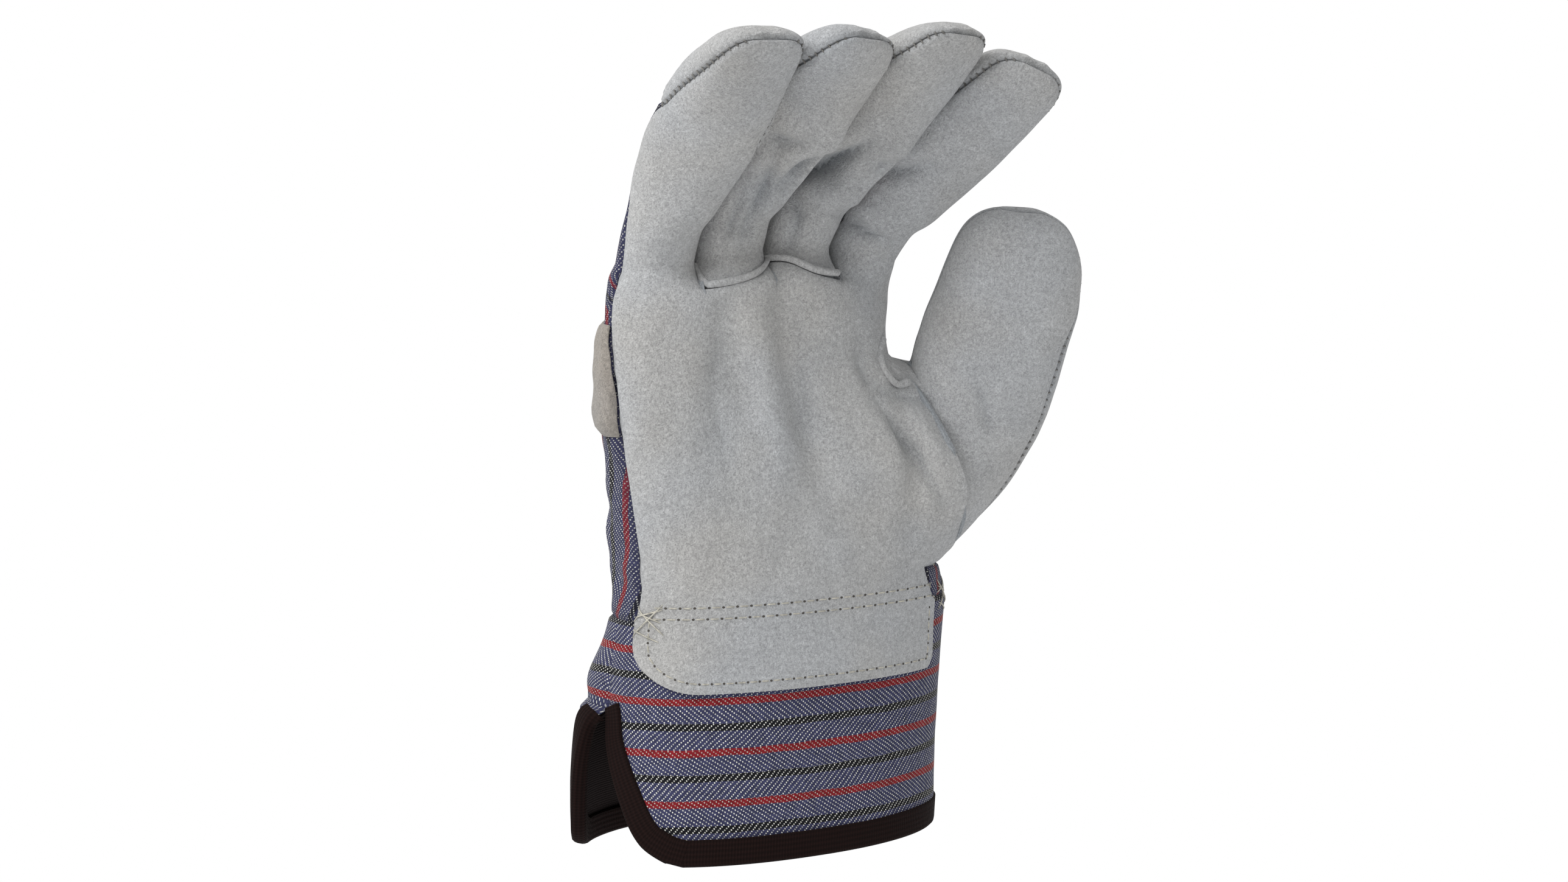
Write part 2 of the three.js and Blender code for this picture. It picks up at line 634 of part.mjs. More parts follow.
const indexBackRow = palmRows.findIndex((up) => up > STRAP_TO);
const isIndexBack = (face) => !front(face) && face.finger === 3
  && ((face.part === 'finger' && face.row < CAP_ROW) || (face.part === 'palm' && face.row >= indexBackRow));
addSuede('index_finger_back', panelGeometry(hand, isIndexBack, LEATHER));
addSuede('thumb_back', panelGeometry(hand, (face) => !front(face) && face.part === 'thumb', LEATHER));

// The cloth back steps in at the wrist, to meet the cuff that sits inside the leather.
const backLift = (point) => CUFF_LIFT * (1 - smooth(point.z, CUFF_LENGTH, CUFF_LENGTH + BACK_RAMP));
const isBack = (face) => isWristCloth(face) || (!front(face) && face.part !== 'thumb' && !isIndexBack(face)
  && !(face.part === 'finger' && face.row >= CAP_ROW));
addPiece('back', panelGeometry(hand, isBack, CANVAS, backLift), STRIPED.colour, STRIPED.roughness);

const isStrap = (face) => !front(face) && face.part === 'palm'
  && palmRows[face.row] >= STRAP_FROM && palmRows[face.row + 1] <= STRAP_TO;
addSuede('knuckle_strap', panelGeometry(hand, isStrap, LEATHER, () => STRAP_LIFT));

// Welts: leather cords laid in the seams at the finger bases and round the thumb crotch
function palmAcross(across, up) {
  const finger = clamp(Math.floor((across + 1) * 2), 0, 3);
  return palmPoint(finger, (across + 1) * 2 - finger, up, -1);
}
const weltProfile = [
  [-WELT_WIDTH / 2, WELT_GAP],
  [WELT_WIDTH / 2, WELT_GAP],
  [WELT_WIDTH / 4, WELT_GAP + WELT_HEIGHT],
  [-WELT_WIDTH / 4, WELT_GAP + WELT_HEIGHT],
];
const weltColumns = [1, 2].flatMap((finger) => shares.slice(1).map((share) => -1 + (finger + share) / 2));
const fingerWelt = weltColumns.slice(0, -1).map((across) => [across, FINGER_SEAM]);
addSuede('finger_base_welt', sweptGeometry(stopsAlong(palmAcross, fingerWelt), weltProfile));
addSuede('thumb_crotch_welt', sweptGeometry(stopsAlong(palmAcross, CROTCH_WELT), weltProfile));

// The cuff and its lining, open at the slit
const cuff = new Surface();
const cuffRows = [0, 0.03, 0.1, 0.2, 0.34, 0.52, 0.72, 0.93, 1, 1.25, (CUFF_LENGTH - WRIST_GAP) / SLIT_HEIGHT]
  .map((share) => share * SLIT_HEIGHT);
const cuffPlace = (share, height) => cuffPoint(
  mix(slitEdge(height, 'front'), 2 * Math.PI - slitEdge(height, 'back'), share),
  height,
);
cuff.grid(range(CUFF_FACETS).map((i) => i / CUFF_FACETS), cuffRows, cuffPlace, { part: 'cuff' });
addPiece('cuff', panelGeometry(cuff, () => true, CANVAS, () => CUFF_LIFT), STRIPED.colour, STRIPED.roughness);
const liningLift = CUFF_LIFT - CANVAS - LAYER_GAP;
addPiece(
  'cuff_lining',
  panelGeometry(cuff, () => true, LINING, () => liningLift),
  DARK_CLOTH.colour,
  DARK_CLOTH.roughness,
);

// The braid folded over the hem, up one edge of the slit and down to the other
const braidOut = CUFF_LIFT + BRAID_GAP;
const braidIn = liningLift - LINING - BRAID_GAP_INSIDE;
const braidMiddle = (braidOut + braidIn) / 2;
const braidHalf = BINDING_WIDTH / 2;
const braidProfile = [
  [BINDING_WIDTH, braidOut],
  [BINDING_WIDTH, braidOut + BINDING_THICKNESS],
  [braidHalf, braidOut + BINDING_THICKNESS],
  [0, braidOut + BINDING_THICKNESS],
  [-SEAM_GAP - BINDING_THICKNESS, braidMiddle],
  [0, braidIn - BINDING_THICKNESS],
  [braidHalf, braidIn - BINDING_THICKNESS],
  [BINDING_WIDTH, braidIn - BINDING_THICKNESS],
  [BINDING_WIDTH, braidIn],
  [braidHalf, braidIn],
  [0, braidIn],
  [-SEAM_GAP, braidMiddle],
  [0, braidOut],
  [braidHalf, braidOut],
];
const slitRows = cuffRows.filter((height) => height < SLIT_HEIGHT);
const hem = range(CUFF_FACETS).slice(1, -1).map((i) => i / CUFF_FACETS);
const [{ front: hemFrom, back: hemTo }] = SLIT_EDGES;
const braidLine = [
  ...slitRows.toReversed().map((height) => [slitEdge(height, 'front'), height]),
  ...hem.map((share) => [mix(radians(hemFrom), 2 * Math.PI - radians(hemTo), share), 0]),
  ...slitRows.map((height) => [2 * Math.PI - slitEdge(height, 'back'), height]),
];
const bindingGeometry = sweptGeometry(stopsAlong(cuffPoint, braidLine), braidProfile);
addPiece('cuff_binding', bindingGeometry, BRAID.colour, BRAID.roughness);

export default glove;
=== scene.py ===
"""A rigger's work glove for the right hand, filled out as if worn, palm towards -Y.

The sewn panels are patches of one smooth form, worked out here at a fine pitch: suede front, striped
cloth back and cuff, a dark lining, a bound hem, and thread in every seam. Lengths are in millimetres
until a mesh is made.
"""

import math
from functools import partial

import bpy
import numpy as np
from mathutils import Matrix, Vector, noise
from mathutils.bvhtree import BVHTree
from mathutils.kdtree import KDTree

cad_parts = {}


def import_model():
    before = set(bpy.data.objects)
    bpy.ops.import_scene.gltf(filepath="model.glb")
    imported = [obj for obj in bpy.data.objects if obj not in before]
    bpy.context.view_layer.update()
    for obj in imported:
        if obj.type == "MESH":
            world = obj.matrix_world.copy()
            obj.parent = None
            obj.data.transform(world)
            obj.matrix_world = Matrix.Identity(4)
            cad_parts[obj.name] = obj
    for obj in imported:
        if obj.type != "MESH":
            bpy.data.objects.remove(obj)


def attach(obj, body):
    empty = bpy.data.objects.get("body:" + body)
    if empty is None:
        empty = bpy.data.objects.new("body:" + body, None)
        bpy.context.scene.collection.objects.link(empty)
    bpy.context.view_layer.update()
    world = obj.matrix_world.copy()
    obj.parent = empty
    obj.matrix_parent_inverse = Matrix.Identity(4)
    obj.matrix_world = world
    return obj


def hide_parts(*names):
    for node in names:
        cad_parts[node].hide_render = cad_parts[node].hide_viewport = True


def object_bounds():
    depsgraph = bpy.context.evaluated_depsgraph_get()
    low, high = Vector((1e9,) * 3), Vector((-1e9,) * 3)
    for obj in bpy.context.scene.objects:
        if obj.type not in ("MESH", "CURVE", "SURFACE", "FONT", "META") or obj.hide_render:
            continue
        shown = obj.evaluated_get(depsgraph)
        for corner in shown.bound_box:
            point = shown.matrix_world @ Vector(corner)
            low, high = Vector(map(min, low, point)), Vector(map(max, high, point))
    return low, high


MM = 0.001
JOIN_WITHIN = 0.01

# Driving sizes of the form. They are the solids' own, apart from the swell over the slit, the round end
# corner of the flap and where the fingers merge. The slit's edges, further down, lie closer here as well.
CUFF_LENGTH = 69
MOUTH_HALF_WIDTH, MOUTH_HALF_DEPTH = 58, 34
WRIST_HALF_WIDTH, WRIST_HALF_DEPTH = 57, 27
WRIST_SHIFT = 7.5
PALM_LENGTH = 106
KNUCKLE_HALF_WIDTH, KNUCKLE_HALF_DEPTH = 45, 18
THUMB_CROTCH_HEIGHT, THUMB_FOOT_HEIGHT = 77, 10
THUMB_LENGTH, THUMB_HALF_WIDTH, THUMB_HALF_DEPTH = 106, 22.5, 13
FLAP_DROP, FLAP_CORNER, FLAP_END_CORNER = 20.5, 17, 3.5
SLIT_HEIGHT, SLIT_FLARE = 44, 6.5
SLIT_OPENING, FLARE_BACKWARDS = 0.85, 0.5
CUFF_SWELL, CUFF_SWELL_HEIGHT, CUFF_SWELL_REACH = 17, 49, 11
THUMB_CROTCH = THUMB_CROTCH_HEIGHT / PALM_LENGTH
THUMB_FOOT = THUMB_FOOT_HEIGHT / PALM_LENGTH
FINGER_SEAM, FINGER_MERGE = 0.93, 0.9
# Where the width and the depth of a fingertip and the thumb's tip begin to round off, and how squarely
TIP_ROUND, TIP_TAPER, THUMB_TIP_ROUND = (0.84, 3.6), (0.6, 2.0), (0.74, 2.5)
FINGER_BLEND, THUMB_BLEND = 0.25, 0.2
FINGER_ROW_CROWDING, THUMB_ROW_CROWDING = 0.8, 0.45
CAP_FROM = 0.54
CAP_TURN, THUMB_TURN = 0.34, 0.42
SEAM_ROW_PLACE = 0.6
THUMB_YAW = 28
SECTION_ROUNDNESS = 2.2
CURVE_STEPS = 24

# Walls, and how far the layers stand off the form
LEATHER, CANVAS, LINING = 1.6, 1.2, 0.9
THIN_LEATHER, RIM_WALL = 0.5, 0.3
CLOTH_LIFT = -1.75
CLOTH_RISE = 14
LINING_LIFT = CLOTH_LIFT - CANVAS - 0.3
STRAP_LIFT = 1.7
CAP_PUFF, STRAP_PUFF, PUFF_WITHIN = 1.6, 1.1, 7

# Turned seams roll in over their width; cut edges only lose their corner. Both are (depth, width).
TURNED = (1.25, 2.3)
CUT = (0.3, 0.5)

# Painted shade: how dark the leather and cloth are painted in creases, in turned seams and near the back's
# edges
CREASE_SHADE, SEAM_SHADE = 0.18, 0.45
BACK_EDGE_SHADE, EDGE_SHADE_WITHIN = 0.42, 14

# Soft unevenness: the size of the lumps, their height, and which lumps
LEATHER_LUMPS = [(22, 0.9, 1), (9, 0.35, 2)]
CUFF_LUMPS = [(26, 0.8, 3), (11, 0.25, 4)]
PUCKERS, LONG_PUCKERS = (7, 1.1, 5), (4.5, 0.8, 6)
PUCKER_STRETCH = (1, 1, 0.3)

# Thread: the pitch of each row, and the radius of a stitch and of a needle hole
WRIST_PITCH, FLAP_PITCH, SEAM_PITCH = 4.2, 3.6, 2.5
WRIST_ROWS = {"upper_wrist": 4.6, "lower_wrist": 1.2}
FLAP_ROW_INSET = 3.0
STITCH_RADIUS, SEAM_STITCH_RADIUS, HOLE_RADIUS = 0.22, 0.26, 0.36
HOLE_DEPTH, HOLE_RISE = 0.5, 0.04

BINDING_WIDTH, TAPE = 6.9, 0.9
WELT_WIDTH, WELT_HEIGHT, WELT_FOOT = 2.3, 1.3, 0.05
CUFF_COLUMNS = 240
STRIPES_FROM = 11.0

# The solids' facets and rows, and how many facets here make one of theirs
FINE = 6
FACETS = 6
FLAP_SHORT = 3
FLAP_END = (4 * FACETS - FLAP_SHORT) * FINE
PALM_SIDE_ROWS = 8
FINGER_ROWS = 11
THUMB_ROWS = 13


def table(names, *rows):
    """Rows of numbers as named columns."""
    return dict(zip(names.split(), np.array(rows, float).T))


PALM_SECTIONS = table(
    "up width shift seam front back cup",
    (0.0, 1.0, 1.0, 17, 1.0, 1.0, 0.0),
    (0.12, 0.96, 0.8, 16, 1.03, 0.93, 0.05),
    (0.35, 0.99, 0.45, 13, 1.12, 0.92, 0.22),
    (0.6, 0.98, -0.22, 10, 1.05, 1.0, 0.25),
    (0.76, 0.965, -0.56, 6, 1.0, 1.06, 0.15),
    (0.9, 1.0, -0.45, 1, 0.97, 1.03, 0.06),
    (1.0, 1.02, -0.1, 0, 0.9, 1.0, 0.0),
)
KNUCKLE_LINE = table("across up", (-1, 0.95), (-0.5, 0.98), (0, 1.01), (0.5, 1.0), (1, 0.95))
FINGERS = [
    dict(
        name="little", length=88, width=15.2, depth=8.5,
        pitch=(20, 41, 62), lean=(2, 6.6, 0), roll=(37, 0),
    ),
    dict(
        name="ring", length=88, width=14.8, depth=8.5,
        pitch=(18, 45, 60), lean=(4.5, 11.3, 9), roll=(37, 0),
    ),
    dict(
        name="middle", length=91, width=15, depth=8.5,
        pitch=(19, 46, 60), lean=(8, 15.5, 12), roll=(37, 0),
    ),
    dict(
        name="index", length=84, width=15, depth=9.2,
        pitch=(28, 47, 55), lean=(16, 20, 11), roll=(30, 22),
    ),
]
FINGER_SECTIONS = table(
    "up width depth roll",
    (0.0, 0.74, 1.35, 0.0),
    (0.15, 0.75, 1.18, 0.62),
    (0.3, 0.9, 1.03, 1.0),
    (0.5, 1.0, 1.0, 1.0),
    (0.75, 0.96, 1.0, 1.0),
    (1.0, 0.87, 1.0, 1.0),
)
THUMB_SECTIONS = table(
    "along out ahead up turn width depth",
    (0.0, 0.0, 0.0, 0.0, 79, 1.45, 1.35),
    (0.1, 0.09, 0.05, 0.04, 65, 1.2, 1.3),
    (0.26, 0.145, 0.1, 0.13, 40, 1.05, 1.2),
    (0.43, 0.165, 0.16, 0.265, 22, 1.0, 1.1),
    (0.62, 0.185, 0.21, 0.415, 11, 0.98, 1.0),
    (0.78, 0.19, 0.26, 0.54, 6, 0.93, 0.95),
    (1.0, 0.18, 0.31, 0.72, 7, 0.86, 0.85),
)
SLIT_EDGES = table(
    "up front back",
    (0.0, 48, 27),
    (0.035, 41, 20),
    (0.14, 30, 13.5),
    (0.37, 19, 9),
    (0.72, 5.2, 4.2),
    (0.93, 1.6, 1.6),
    (1.0, 0, 0),
)
PALM_FOLDS = [
    dict(start=(0.05, 0.95), end=(0.12, 0.35), width=0.09, depth=0.13),
    dict(start=(-0.35, 0.8), end=(-0.2, 0.5), width=0.09, depth=0.08),
    dict(start=(0.85, 0.62), end=(0.62, 0.22), width=0.07, depth=0.16),
]
FINGER_FOLDS = [
    dict(finger="ring", at=0.1, width=0.05, depth=0.3),
    dict(finger="middle", at=0.16, width=0.05, depth=0.3),
    dict(finger="middle", at=0.34, width=0.05, depth=0.22),
    dict(finger="index", at=0.18, width=0.07, depth=0.16),
]
CROTCH_WELT = [(0.93, 0.775), (0.83, 0.735), (0.78, 0.69), (0.79, 0.655), (0.84, 0.635), (0.93, 0.645)]

# Loose threads at each end of the wrist: where each starts and ends, [along, up]; along is a share
TACK_THREADS = [
    (-1.0, -4.5, 0.9, 5.5),
    (-0.9, 5.0, 1.0, -3.5),
    (-1.1, 1.0, 0.9, 4.0),
    (-0.8, 3.0, 0.8, 0.2),
    (-1.0, -2.0, 0.7, -5.5),
]

# The camera: how it looks at the palm
CAMERA_AZIMUTH, CAMERA_ELEVATION = -30, 7
CAMERA_DISTANCE = 900
CAMERA_TARGET = np.array([5.5, -4.9, 118.0])
CAMERA_LENS = 69.66
# Each light's place right, up and back from the target, its size and its power
LIGHTS = [
    ("key", (-650, 700, 650), 700, 10.5),
    ("fill", (150, -600, 650), 800, 2.5),
    ("rim", (300, 500, -800), 600, 0.6),
]

# Creases worn into the palm side, drawn on the upright plane that faces the viewer and passes through
# the middle of the hand: [across, up] from that middle. A negative depth is a soft ridge.
CREASES = [
    dict(line=[(-17, 40), (-20, 12), (-14, -16)], width=5, depth=1.7),
    dict(line=[(-8, 42), (-5, 18), (0, -12)], width=5.5, depth=-1.7),
    dict(line=[(4, 40), (6, 12), (8, -10)], width=4.5, depth=1.7),
    dict(line=[(-24, -8), (-14, -20), (-2, -26)], width=8, depth=0.9),
    dict(line=[(27, 13), (37, 13.5), (46, 11)], width=2.0, depth=1.8),
    dict(line=[(28, 12), (33, 6), (38, -1.5), (41, -7), (48, -19)], width=2.0, depth=3.2),
    dict(line=[(34, 11), (41, 4), (47, -4)], width=3.4, depth=-1.7),
    dict(line=[(56, 19), (60, 9), (62, -1)], width=1.8, depth=2.1),
    dict(line=[(44, 8), (50, 0), (55, -8)], width=3, depth=1),
    dict(line=[(25, 88), (16, 82.5), (7, 80), (0, 75)], width=2.4, depth=5.9),
    dict(line=[(23, 93), (13, 88.5), (4, 87)], width=3.6, depth=-2.7),
    dict(line=[(18, 77), (12, 71), (11, 62)], width=4.2, depth=-3.2),
    dict(line=[(1, 75), (4.5, 67), (2, 58)], width=2.2, depth=2.9),
    dict(line=[(-2, 87), (-5, 77), (-9, 67), (-12, 58)], width=2.8, depth=3.6),
    dict(line=[(-12, 74), (-15, 66), (-17, 60)], width=1.8, depth=2.3),
    dict(line=[(17, 67), (24, 62), (32, 58.5)], width=2.0, depth=3.2),
    dict(line=[(19, 72), (27, 68), (35, 65)], width=3.4, depth=-2.2),
    dict(line=[(26, 82), (33, 79.5), (43, 81.5)], width=2.6, depth=3.2),
    dict(line=[(28, 88), (36, 86), (44, 88)], width=4.0, depth=-2),
    dict(line=[(10, 52), (20, 50), (28, 46)], width=3.6, depth=1.4),
    dict(line=[(-35, 30), (-33, 8), (-30, -20)], width=7, depth=0.9),
    dict(line=[(-6, 90.5), (1, 88), (9.5, 88.5)], width=2.0, depth=2.9),
    dict(line=[(-9, 84), (-3, 82), (3, 84)], width=3.0, depth=-1.7),
    dict(line=[(22, 30), (22.5, 23), (25.5, 17.5), (30.5, 15.5), (36, 17.5)], width=1.8, depth=1.9),
]


def mix(a, b, t):
    return a + (b - a) * t


def smooth(value, low, high):
    t = np.clip((value - low) / (high - low), 0, 1)
    return t * t * (3 - 2 * t)


def arc_share(i, n):
    """Even steps round a half circle, seen from the side."""
    return (1 - np.cos(math.pi * np.asarray(i, float) / n)) / 2


def read(rows, place, at, column):
    """A column of a table, read at any place between its rows with a smooth cubic."""
    spots, values = rows[place], rows[column]
    ahead = np.minimum(np.arange(len(spots)) + 1, len(spots) - 1)
    behind = np.maximum(np.arange(len(spots)) - 1, 0)
    slopes = (values[ahead] - values[behind]) / (spots[ahead] - spots[behind])
    i = np.clip(np.searchsorted(spots, at, side="right") - 1, 0, len(spots) - 2)
    span = spots[i + 1] - spots[i]
    t = np.clip((at - spots[i]) / span, 0, 1)
    start = (2 * t**3 - 3 * t**2 + 1) * values[i] + (t**3 - 2 * t**2 + t) * span * slopes[i]
    return start + (3 * t**2 - 2 * t**3) * values[i + 1] + (t**3 - t**2) * span * slopes[i + 1]


def bulge(across, end=0.0):
    """Height of a rounded section over its middle line, for across from -1 to 1."""
    n = SECTION_ROUNDNESS
    return np.maximum(0, 1 - (1 - end**n) * np.abs(across) ** n) ** (1 / n)


def tip_share(at, rounding):
    start, squareness = rounding
    past = np.clip((at - start) / (1 - start), 0, 1)
    return np.maximum(0, 1 - past**squareness) ** (1 / squareness)


def stack(x, y, z):
    return np.stack(np.broadcast_arrays(x, y, z), axis=-1).astype(float)


def unit(vectors):
    return vectors / np.maximum(np.linalg.norm(vectors, axis=-1, keepdims=True), 1e-12)


def cuff_section(height):
    up = np.maximum(height, 0) / CUFF_LENGTH
    half_width = mix(MOUTH_HALF_WIDTH, WRIST_HALF_WIDTH, up)
    return WRIST_SHIFT * up, half_width, mix(MOUTH_HALF_DEPTH, WRIST_HALF_DEPTH, up)


def thumb_opening(up):
    off = (2 * up - THUMB_CROTCH - THUMB_FOOT) / (THUMB_CROTCH - THUMB_FOOT)
    return np.sqrt(np.maximum(0, 1 - off * off))


def fold_depth(across, up):
    depth = 0
    for fold in PALM_FOLDS:
        a, b = np.array(fold["start"]), np.array(fold["end"])
        line = b - a
        along = np.clip(((across - a[0]) * line[0] + (up - a[1]) * line[1]) / (line @ line), 0, 1)
        off = np.hypot(across - a[0] - along * line[0], up - a[1] - along * line[1]) / fold["width"]
        ends = np.sqrt(np.sin(math.pi * np.clip(along, 0.08, 0.92)))
        depth = depth + fold["depth"] * np.exp(-off * off) * ends
    return depth * KNUCKLE_HALF_DEPTH


def palm_point(finger, share, up, side):
    """The hand below the knuckle line; side is -1 on the palm and 1 on the back."""
    share, up = np.asarray(share, float), np.asarray(up, float)
    across = -1 + (finger + share) / 2
    column = {name: read(PALM_SECTIONS, "up", up, name) for name in PALM_SECTIONS}
    depth = mix(WRIST_HALF_DEPTH, KNUCKLE_HALF_DEPTH, smooth(up, 0, 1))
    half_width = mix(WRIST_HALF_WIDTH, KNUCKLE_HALF_WIDTH, up) * column["width"]
    turn = np.arccos(np.clip(-across, -1, 1))
    seam = np.radians(column["seam"])
    turned = seam * np.maximum(0, 1 - turn / (math.pi / 2)) ** 2 - side * turn
    place = -np.cos(turned)
    face = np.where(turned > 0, -1, 1)
    end = np.where(across > 0, thumb_opening(up), 0)
    palm_share = 1 - smooth(up, FINGER_MERGE, 1)
    palm_depth = depth * np.where(face < 0, column["front"], column["back"]) * bulge(place, end)
    finger_depth = finger_section(FINGERS[finger], 0.0)[1] * bulge(2 * share - 1)
    y = mix(side * finger_depth, face * palm_depth, palm_share)
    if side < 0:
        cup = column["cup"] * KNUCKLE_HALF_DEPTH
        y = y + cup * bulge(across) ** 2 * (1 - across * across) * palm_share
        y = y + fold_depth(across, up) * palm_share * smooth(up, 0, 0.1)
    top = CUFF_LENGTH + PALM_LENGTH * read(KNUCKLE_LINE, "across", across, "up")
    return stack(WRIST_SHIFT * column["shift"] + half_width * place, y, mix(CUFF_LENGTH, top, up))


def finger_section(finger, at):
    half_width = finger["width"] * read(FINGER_SECTIONS, "up", at, "width") * tip_share(at, TIP_ROUND)
    half_depth = finger["depth"] * read(FINGER_SECTIONS, "up", at, "depth") * tip_share(at, TIP_TAPER)
    roll = mix(*np.radians(finger["roll"]), smooth(at, 0.45, 1))
    return half_width, half_depth, roll * read(FINGER_SECTIONS, "up", at, "roll")


def bend(angles, at):
    """Quadratic through three angles, at the base, middle and tip."""
    base, middle, tip = np.radians(angles)
    return base * (1 - at) * (1 - 2 * at) + 4 * middle * at * (1 - at) + tip * at * (2 * at - 1)


def finger_direction(finger, at):
    pitch, lean = bend(finger["pitch"], at), bend(finger["lean"], at)
    return stack(np.sin(lean), -np.cos(lean) * np.sin(pitch), np.cos(lean) * np.cos(pitch))


def finger_centre(index, at):
    finger = FINGERS[index]
    start = (palm_point(index, 0, 1, 1) + palm_point(index, 1, 1, 1)) / 2
    steps = (np.arange(CURVE_STEPS) + 0.5) / CURVE_STEPS
    travel = finger_direction(finger, at[..., None] * steps).sum(axis=-2)
    return start + travel * (finger["length"] / CURVE_STEPS) * at[..., None]


def finger_point(index, share, at, side):
    finger = FINGERS[index]
    share, at = np.broadcast_arrays(np.asarray(share, float), np.asarray(at, float))
    half_width, half_depth, roll = (part[..., None] for part in finger_section(finger, at))
    along = finger_direction(finger, at)
    across = unit(np.array([1.0, 0, 0]) - along * along[..., :1])
    outward = np.cross(along, across)
    lateral = across * np.cos(roll) - outward * np.sin(roll)
    dorsal = outward * np.cos(roll) + across * np.sin(roll)
    round_share = bulge(2 * share - 1)[..., None]
    fold = 0
    if side < 0:
        for row in FINGER_FOLDS:
            if row["finger"] == finger["name"]:
                off = (at - row["at"]) / row["width"]
                fold = fold + row["depth"] * finger["depth"] * np.exp(-off * off)[..., None] * round_share
    centre = finger_centre(index, at)
    free = centre + lateral * half_width * (2 * share - 1)[..., None]
    free = free + dorsal * side * (half_depth * round_share - fold)
    base = palm_point(index, share, 1.0, side) + centre - finger_centre(index, np.array(0.0))
    return mix(base, free, smooth(at, 0, FINGER_BLEND)[..., None])


def thumb_centre(at):
    middle = (palm_point(3, 1, THUMB_CROTCH, 1) + palm_point(3, 1, THUMB_FOOT, 1)) / 2
    out, ahead, up = (read(THUMB_SECTIONS, "along", at, name) for name in ("out", "ahead", "up"))
    return middle + stack(out, -ahead, up) * THUMB_LENGTH


def thumb_point(share, at, side):
    """share runs from the thumb's crotch, round the outside, to its foot."""
    share, at = np.broadcast_arrays(np.asarray(share, float), np.asarray(at, float))
    base = palm_point(3, 1, mix(THUMB_CROTCH, THUMB_FOOT, share), side)
    tip = tip_share(at, THUMB_TIP_ROUND)
    turn, width, depth = (read(THUMB_SECTIONS, "along", at, name) for name in ("turn", "width", "depth"))
    turn, yaw = np.radians(turn), math.radians(THUMB_YAW) * smooth(at, 0, 0.5)
    lateral = stack(np.cos(turn) * np.cos(yaw), -np.cos(turn) * np.sin(yaw), -np.sin(turn))
    near = 0.5 / CURVE_STEPS
    travel = thumb_centre(np.minimum(at + near, 1)) - thumb_centre(np.maximum(at - near, 0))
    normal = unit(np.cross(travel, lateral))
    free = thumb_centre(at) + lateral * (THUMB_HALF_WIDTH * width * tip * (2 * share - 1))[..., None]
    free = free + normal * (side * THUMB_HALF_DEPTH * depth * tip * bulge(2 * share - 1))[..., None]
    return mix(base, free, smooth(at, 0, THUMB_BLEND)[..., None])


def turned_section(point, share, at, side, at_start, at_end):
    """A section whose seams lie round towards the palm side, by angles at its start and its end."""
    share, at = np.broadcast_arrays(np.asarray(share, float), np.asarray(at, float))
    turn = np.arccos(np.clip(1 - 2 * share, -1, 1))
    angle = turn + side * mix(-at_start, at_end, turn / math.pi)
    over = (angle < 0) | (angle > math.pi)
    angle = np.abs(np.where(angle > math.pi, 2 * math.pi - angle, angle))
    spot = (1 - np.cos(angle)) / 2
    return np.where(over[..., None], point(spot, at, -side), point(spot, at, side))


def sewn_finger(index, share, at, side):
    """A finger whose cap comes a little way round to the front."""
    turn = CAP_TURN * smooth(np.asarray(at, float), CAP_FROM - 0.05, CAP_FROM + 0.05)
    return turned_section(partial(finger_point, index), share, at, side, turn, 0.6 * turn)


def sewn_thumb(share, at, side):
    """The thumb, whose outer seam comes round to the front near its root."""
    at = np.asarray(at, float)
    turn = THUMB_TURN * smooth(at, 0, 0.2) * (1 - smooth(at, 0.5, 0.85))
    return turned_section(thumb_point, share, at, side, 0.0, turn)


def cuff_point(turn, height):
    """turn runs from the little finger's side round the front."""
    turn, height = np.broadcast_arrays(np.asarray(turn, float), np.asarray(height, float))
    shift, half_width, half_depth = cuff_section(height)
    beside = np.where(turn > math.pi, np.maximum(0, np.cos(turn)) ** 2, 0)
    low = np.clip(1 - height / SLIT_HEIGHT, 0, 1)
    off = (height - CUFF_SWELL_HEIGHT) / CUFF_SWELL_REACH
    swell = CUFF_SWELL * np.exp(-off * off) * np.abs(np.sin(turn))
    flare = beside * (SLIT_FLARE * np.sin(SLIT_OPENING * math.pi * np.sqrt(low)) + swell)

    def rounded(value):
        return np.sign(value) * np.abs(value) ** (2 / SECTION_ROUNDNESS)

    x = shift - (half_width + flare) * rounded(np.cos(turn))
    return stack(x, -(half_depth + FLARE_BACKWARDS * flare) * rounded(np.sin(turn)), height)


def slit_edge(height, edge):
    degrees = read(SLIT_EDGES, "up", np.clip(height / SLIT_HEIGHT, 0, 1), edge)
    return np.radians(np.where(height >= SLIT_HEIGHT, 0, degrees))


def flap_surface(across, height):
    """The flap's leather lies on the front of the cuff; across is -1 to 1 at the wrist."""
    shift, half_width, half_depth = cuff_section(height)
    return stack(shift + half_width * across, -half_depth * bulge(across), height)


def flap_across(column):
    finger = np.minimum(3, column // (FACETS * FINE)).astype(int)
    share = arc_share(column - finger * FACETS * FINE, FACETS * FINE)
    tops = np.stack([palm_point(index, share, 0.0, -1) for index in range(4)])
    top = np.take_along_axis(tops, finger[None, :, None], axis=0)[0]
    return (top[:, 0] - WRIST_SHIFT) / WRIST_HALF_WIDTH


def flap_ends():
    """Where across the wrist the flap starts and ends."""
    return flap_across(np.array([0]))[0], flap_across(np.array([FLAP_END]))[0]


def flap_hem(across):
    """Height of the flap's lower edge; both its corners are round, the little finger's much more."""
    first, last = flap_ends()
    from_edge = (across - first) * WRIST_HALF_WIDTH
    distance = np.clip(1 - from_edge / FLAP_CORNER, 0, 1)
    from_end = np.clip(1 - (last - across) * WRIST_HALF_WIDTH / FLAP_END_CORNER, 0, 1)
    rounded = FLAP_END_CORNER * (1 - np.sqrt(1 - from_end * from_end))
    return CUFF_LENGTH - FLAP_DROP * mix(0.35, 1, np.sqrt(1 - distance * distance)) + rounded


